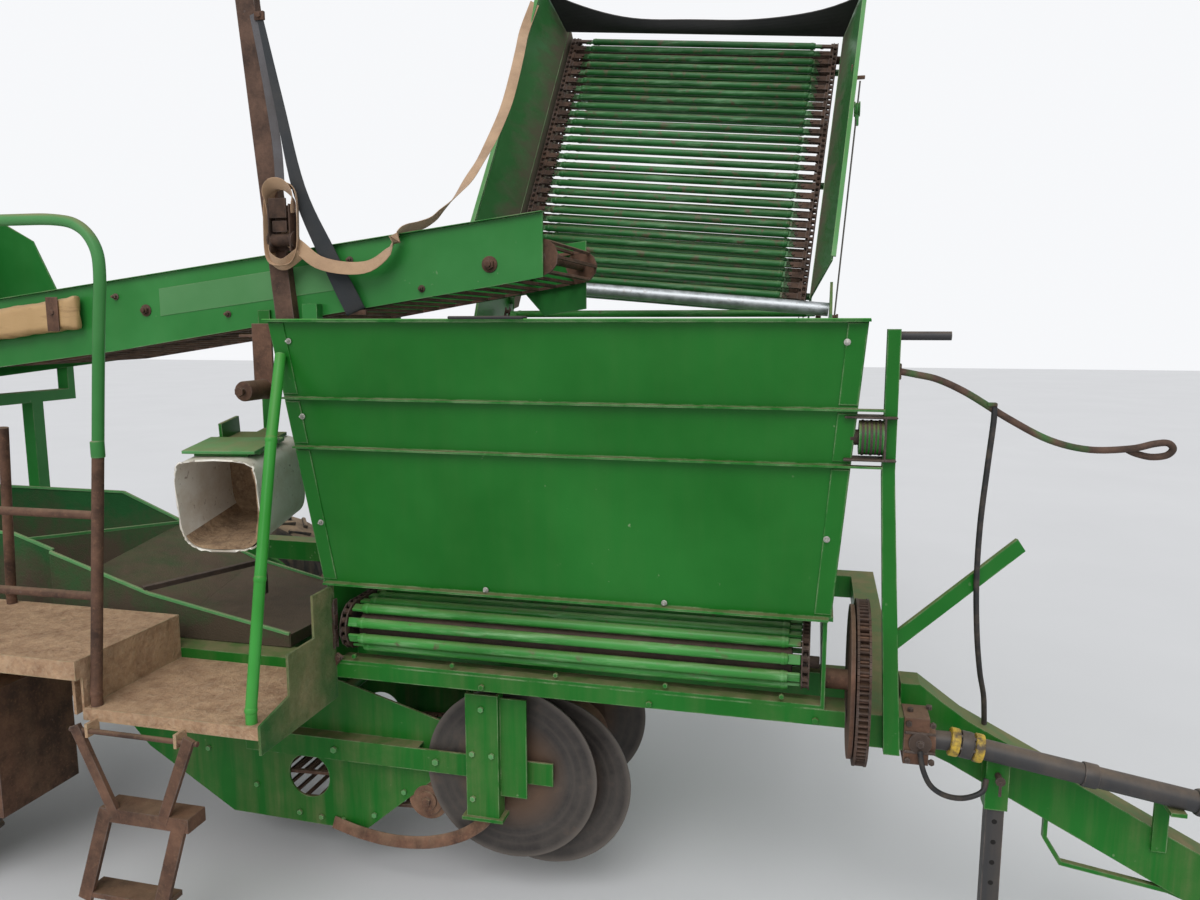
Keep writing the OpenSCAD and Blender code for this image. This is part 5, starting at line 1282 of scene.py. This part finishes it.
HOSES = (
    ("rod_hose", [(2.045, -1.066, 1.792), (2.046, -1.066, 1.745), (2.038, -1.062, 1.62), (2.030, -1.050, 1.45),
                  (2.032, -1.035, 1.28), (2.046, -1.010, 1.12), (2.068, -0.965, 0.99), (2.090, -0.925, 0.900),
                  (2.100, -0.905, 0.806)]),
    ("beam_hose", [(1.895, -1.105, 0.790), (1.905, -1.118, 0.740), (1.930, -1.112, 0.690), (1.975, -1.090, 0.655),
                   (2.030, -1.062, 0.640), (2.080, -1.042, 0.655), (2.093, -1.028, 0.690)]))
rod_line = [(1.7925, -1.105, 1.880), (1.835, -1.100, 1.872), (1.895, -1.090, 1.858), (1.975, -1.075, 1.820),
            (2.085, -1.050, 1.752), (2.200, -1.020, 1.692), (2.310, -0.990, 1.665), (2.420, -0.965, 1.668),
            (2.480, -0.956, 1.682), (2.516, -0.947, 1.684), (2.532, -0.942, 1.668), (2.518, -0.939, 1.649),
            (2.480, -0.937, 1.643), (2.440, -0.942, 1.652), (2.418, -0.953, 1.662)]
hose_bar = hose("hose_rod_bar", rod_line, 0.0095)[0]
rod_plate = box("rod_plate", (1.778, -1.118, 1.858), (1.796, -1.092, 1.902), 0.002)
hose_clip = box("hose_clip", (2.026, -1.078, 1.786), (2.052, -1.054, 1.796), 0.002)
dress(joined("hose_rod_bar", [rod_plate, hose_clip, hose_bar]), rod_finish)
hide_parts("hose_rod")
for name, points in HOSES:
    piece, route, length = hose(name, points, 0.008)
    dress(piece, hose_rubber)

# Digging unit: bolts along the plates, a bent share strap below the leg, the nose roller of
# the web, and the bolted hubs of the cutting discs.
dig_bolts = []
for y, radius, length, spots in (
        (-0.924, 0.010, 0.010, ((-0.244, 0.212), (-0.155, 0.205), (-0.067, 0.205), (0.060, 0.240), (0.180, 0.345),
                                (-0.420, 0.300), (-0.620, 0.420), (-0.300, 0.620))),
        (-0.979, 0.012, 0.012, ((-0.330, 0.505), (-0.060, 0.505), (0.330, 0.505))),
        (-1.033, 0.010, 0.012, ((0.488, 0.580), (0.557, 0.580), (0.488, 0.420), (0.522, 0.740)))):
    dig_bolts += [bolt((x, y, z), radius, length) for x, z in spots]
dress(joined("digging_bolts", dig_bolts), lip_green, "digging_unit")
strap_line = smooth_route([(-0.100, -0.930, 0.196), (0.020, -0.950, 0.182), (0.160, -0.972, 0.184),
                           (0.300, -0.985, 0.206), (0.420, -0.990, 0.250), (0.500, -0.990, 0.305),
                           (0.530, -0.990, 0.343)], 6)
share_strap = ribbon("share_strap", strap_line, [Vector((0.0, 0.35, 1.0))] * len(strap_line), 0.042, 0.008)
nose = [drum("rim", (0.270, -0.905, 0.325), 0.075, 0.020, "Y", 40, 0.004),
        drum("ring", (0.270, -0.918, 0.325), 0.056, 0.010, "Y", 36, 0.003),
        drum("ring", (0.270, -0.925, 0.325), 0.036, 0.010, "Y", 32, 0.003),
        drum("nut", (0.270, -0.934, 0.325), 0.017, 0.014, "Y", 6, 0.002)]
dress(joined("share_strap", [share_strap] + nose), rusted("earth_brown", size=1.5, dust=1.0, metal=0.1),
      "digging_unit")
for body, x, z, y in (("outer_disc", 0.593, 0.480, -0.959), ("inner_disc", 0.697, 0.440, -0.875),
                      ("far_disc", 0.657, 0.480, -0.445)):
    hub = [drum("flange", (x, y, z), 0.052, 0.004, "Y", 40, 0.001)]
    for k in range(6):
        angle = math.tau * k / 6 + 0.3
        hub.append(bolt((x + 0.040 * math.cos(angle), y - 0.005, z + 0.040 * math.sin(angle)), 0.008, 0.009))
    dress(joined(body + "_hub", hub), caked_and_shaded_steel, body)

# Bunker's rear foot: a rusty flat bar with its bolt on the beam,
# and a short chain beside the step.
foot = [plate("flat_bar", [(-0.062, -1.0945, 0.800), (-0.034, -1.0945, 0.792), (0.062, -1.0945, 0.905),
                           (0.040, -1.0945, 0.918)], 0.008, 0.001),
        bolt((0.046, -1.103, 0.902), 0.010, 0.012)]
dress(joined("rear_foot", foot), rusty_steel)
links = [Matrix.Translation((0.030, -1.098, 1.085 - 0.026 * i)) @ Matrix.Rotation(math.pi / 2, 4, "X")
         @ Matrix.Rotation(math.pi / 2 * (i % 2), 4, "Y") for i in range(6)]
dress(copies("foot_chain", chain_link(), links), chain_rust)

# Lowering cable: a thin steel rope from the bracket on the elevator's front wall to an eye
# on the bunker's side plate, with a painted hook block near its upper end.
cable_steel, tree, shader = shader_of("cable_steel")
lay = node(tree, "TexWave", {"Vector": object_place(tree), "Scale": 160.0, "Distortion": 0.5},
           bands_direction="DIAGONAL").outputs["Fac"]
coat(tree, shader, blend_colour(tree, lay, (0.060, 0.054, 0.048), (0.20, 0.18, 0.16)), 0.55, (lay, 0.4, 0.001),
     metal=0.5)
cable_top, cable_foot = Vector((1.722, 0.900, 3.140)), Vector((1.640, 0.700, 2.045))
cable_line = [tuple(cable_foot.lerp(cable_top, i / 18)) for i in range(19)]
cable, route, length = hose("lowering_cable", cable_line, 0.004, 1)
paint(cable, cable_steel)
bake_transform(cable)
eye = [box("eye_plate", (1.6255, 0.670, 2.000), (1.632, 0.730, 2.052), 0.002),
       drum("eye_pin", (1.640, 0.700, 2.040), 0.010, 0.024, "X", 20, 0.002),
       bolt((1.652, 0.700, 2.040), 0.016, 0.010, "X")]
dress(joined("cable_eye", eye), rusty_steel)
arm_base = Vector((1.6815, 0.900, 3.170))
hook_gear = [box("bracket", (arm_base.x, 0.885, 3.150), (arm_base.x + 0.062, 0.915, 3.162), 0.002),
             box("bracket_foot", (arm_base.x - 0.002, 0.870, 3.110), (arm_base.x + 0.006, 0.930, 3.210), 0.002),
             bolt((arm_base.x + 0.009, 0.900, 3.190), 0.009, 0.010, "X")]
dress(joined("cable_bracket", hook_gear), rusty_steel, "discharge_elevator")
block_place = cable_foot.lerp(cable_top, 0.88)
block_parts = [drum("cheek", (block_place.x + side * 0.011, block_place.y, block_place.z), 0.034, 0.006, "X", 28, 0.002)
               for side in (-1, 1)]
block_parts += [
    drum("sheave", tuple(block_place), 0.029, 0.014, "X", 28, 0.003),
    box("block_neck", (block_place.x - 0.009, block_place.y - 0.012, block_place.z - 0.075),
        (block_place.x + 0.009, block_place.y + 0.012, block_place.z - 0.025), 0.003, 2)]
dress(joined("hook_block", block_parts), lip_green, "discharge_elevator")

# Rear elevator's casing: folded seams, stiffening ribs and bolted joints on its plain
# green sheets, and the bearings of its two shafts.
low, high = [Vector(corner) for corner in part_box("rear_elevator")]
CASE_TOP = 2.600
casing = []
for z in (0.86, 1.30, 1.76, 2.22):
    for a, b in (((low.x + 0.012, low.y - 0.005), (high.x - 0.012, low.y + 0.001)),
                 ((low.x + 0.012, high.y - 0.001), (high.x - 0.012, high.y + 0.005)),
                 ((low.x - 0.005, low.y + 0.03), (low.x + 0.001, high.y - 0.03))):
        casing.append(box("rib", (*a, z - 0.014), (*b, z + 0.014), 0.004, 2))
for y in (low.y, high.y):
    out = -0.004 if y == low.y else 0.004
    casing += [box("seam", (low.x + 0.001, min(y, y + out), low.z + 0.02),
                   (low.x + 0.030, max(y, y + out), CASE_TOP - 0.02), 0.001),
               box("seam", (high.x - 0.030, min(y, y + out), low.z + 0.02),
                   (high.x - 0.001, max(y, y + out), high.z - 0.02), 0.001)]
casing.append(box("hood_edge", (high.x - 0.008, low.y + 0.004, 1.742),
                  (high.x + 0.004, high.y - 0.004, 1.764), 0.002))
dress(joined("lift_casing_ribs", casing), green_paint)
case_bolts = []
for y, out in ((low.y, -0.008), (high.y, 0.008)):
    for i in range(9):
        z = low.z + 0.10 + 0.245 * i
        case_bolts += [bolt((x, y + out, z), 0.008, 0.010) for x in (low.x + 0.016, high.x - 0.016)]
    for z in (0.640, 2.540):
        case_bolts += [drum("bearing", (low.x + 0.272, y + out * 0.6, z), 0.052, 0.012, "Y", 32, 0.003),
                       drum("shaft_end", (low.x + 0.272, y + out * 1.6, z), 0.018, 0.020, "Y", 24, 0.002)]
dress(joined("lift_casing_bolts", case_bolts), zinc_bolt)

# Frame bolts: two rows of painted bolt heads along the near beam,
# below the platform and below the bunker.
frame_bits = [bolt((x, -1.094, 0.845), 0.010, 0.012) for x in (-2.30, -1.20, -0.10, 0.55, 1.10, 1.60)]
frame_bits += [bolt((x, -1.093, 0.910), 0.008, 0.010) for x in (0.10, 0.45, 0.80, 1.15, 1.50)]
dress(joined("frame_bolts", frame_bits), green_paint)

# Hand hoop of the platform: one green tube bent in two wide corners, pushed on the rusty
# posts. Its paint is dusty and worn where hands hold it.
hoop_green = enamel("hoop_green", (0.030, 0.170, 0.036), (0.080, 0.260, 0.085), dust=0.8, wear=0.8, rough=0.4)
hoop_line = [(-0.498, -1.478, 1.620), (-0.484, -1.472, 1.820), (-0.470, -1.466, 2.010), (-0.459, -1.461, 2.150),
             (-0.468, -1.460, 2.228), (-0.515, -1.460, 2.286), (-0.600, -1.462, 2.309), (-0.800, -1.467, 2.312),
             (-1.400, -1.484, 2.312), (-2.000, -1.500, 2.312), (-2.140, -1.504, 2.306), (-2.222, -1.512, 2.276),
             (-2.262, -1.520, 2.212), (-2.270, -1.525, 2.110), (-2.270, -1.525, 1.850), (-2.270, -1.525, 1.600)]
hoop_tube = hose("hand_hoop_tube", hoop_line, 0.017)[0]
sleeves = [drum("sleeve", (-0.4975, -1.4778, 1.640), 0.0195, 0.050, "Z", 24, 0.003),
           drum("sleeve", (-2.270, -1.525, 1.630), 0.0195, 0.060, "Z", 24, 0.003)]
dress(joined("hand_hoop_tube", sleeves + [hoop_tube]), hoop_green)
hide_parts("hand_hoop")

# Studio: a plain pale floor with a soft overcast light over it.
# The backdrop is white for the camera only, so that it adds no light to the machine.
bpy.ops.object.select_all(action="DESELECT")
bpy.ops.mesh.primitive_plane_add(size=80)
floor = bpy.context.object
floor.name = "studio_floor"
floor_finish, tree, shader = shader_of("studio_floor")
cloud = noise(tree, object_place(tree), 0.6, 3.0)
coat(tree, shader, blend_colour(tree, cloud, (0.60, 0.60, 0.61), (0.66, 0.66, 0.67)), 0.9)
paint(floor, floor_finish)

world = bpy.data.worlds.new("overcast")
bpy.context.scene.world = world
world.use_nodes = True
tree = world.node_tree
sky = tree.nodes["Background"]
sky.inputs["Color"].default_value = (0.96, 0.98, 1.0, 1.0)
sky.inputs["Strength"].default_value = 0.72
seen = node(tree, "Background", {"Color": (0.93, 0.94, 0.96, 1.0), "Strength": 1.0})
path = node(tree, "LightPath")
either = maths(tree, "MAXIMUM", path.outputs["Is Camera Ray"], path.outputs["Is Transmission Ray"])
split = node(tree, "MixShader", {0: either, 1: sky.outputs[0], 2: seen.outputs[0]})
tree.links.new(split.outputs[0], tree.nodes["World Output"].inputs["Surface"])

for name, turn, energy, width in (("sun_soft", (0.75, -0.25, 0.35), 1.35, 0.7),
                                  ("sky_side", (1.05, 0.1, -0.55), 0.45, 1.2)):
    lamp = bpy.data.lights.new(name, "SUN")
    lamp.energy = energy
    lamp.angle = width
    lamp_object = bpy.data.objects.new(name, lamp)
    bpy.context.collection.objects.link(lamp_object)
    lamp_object.rotation_euler = turn
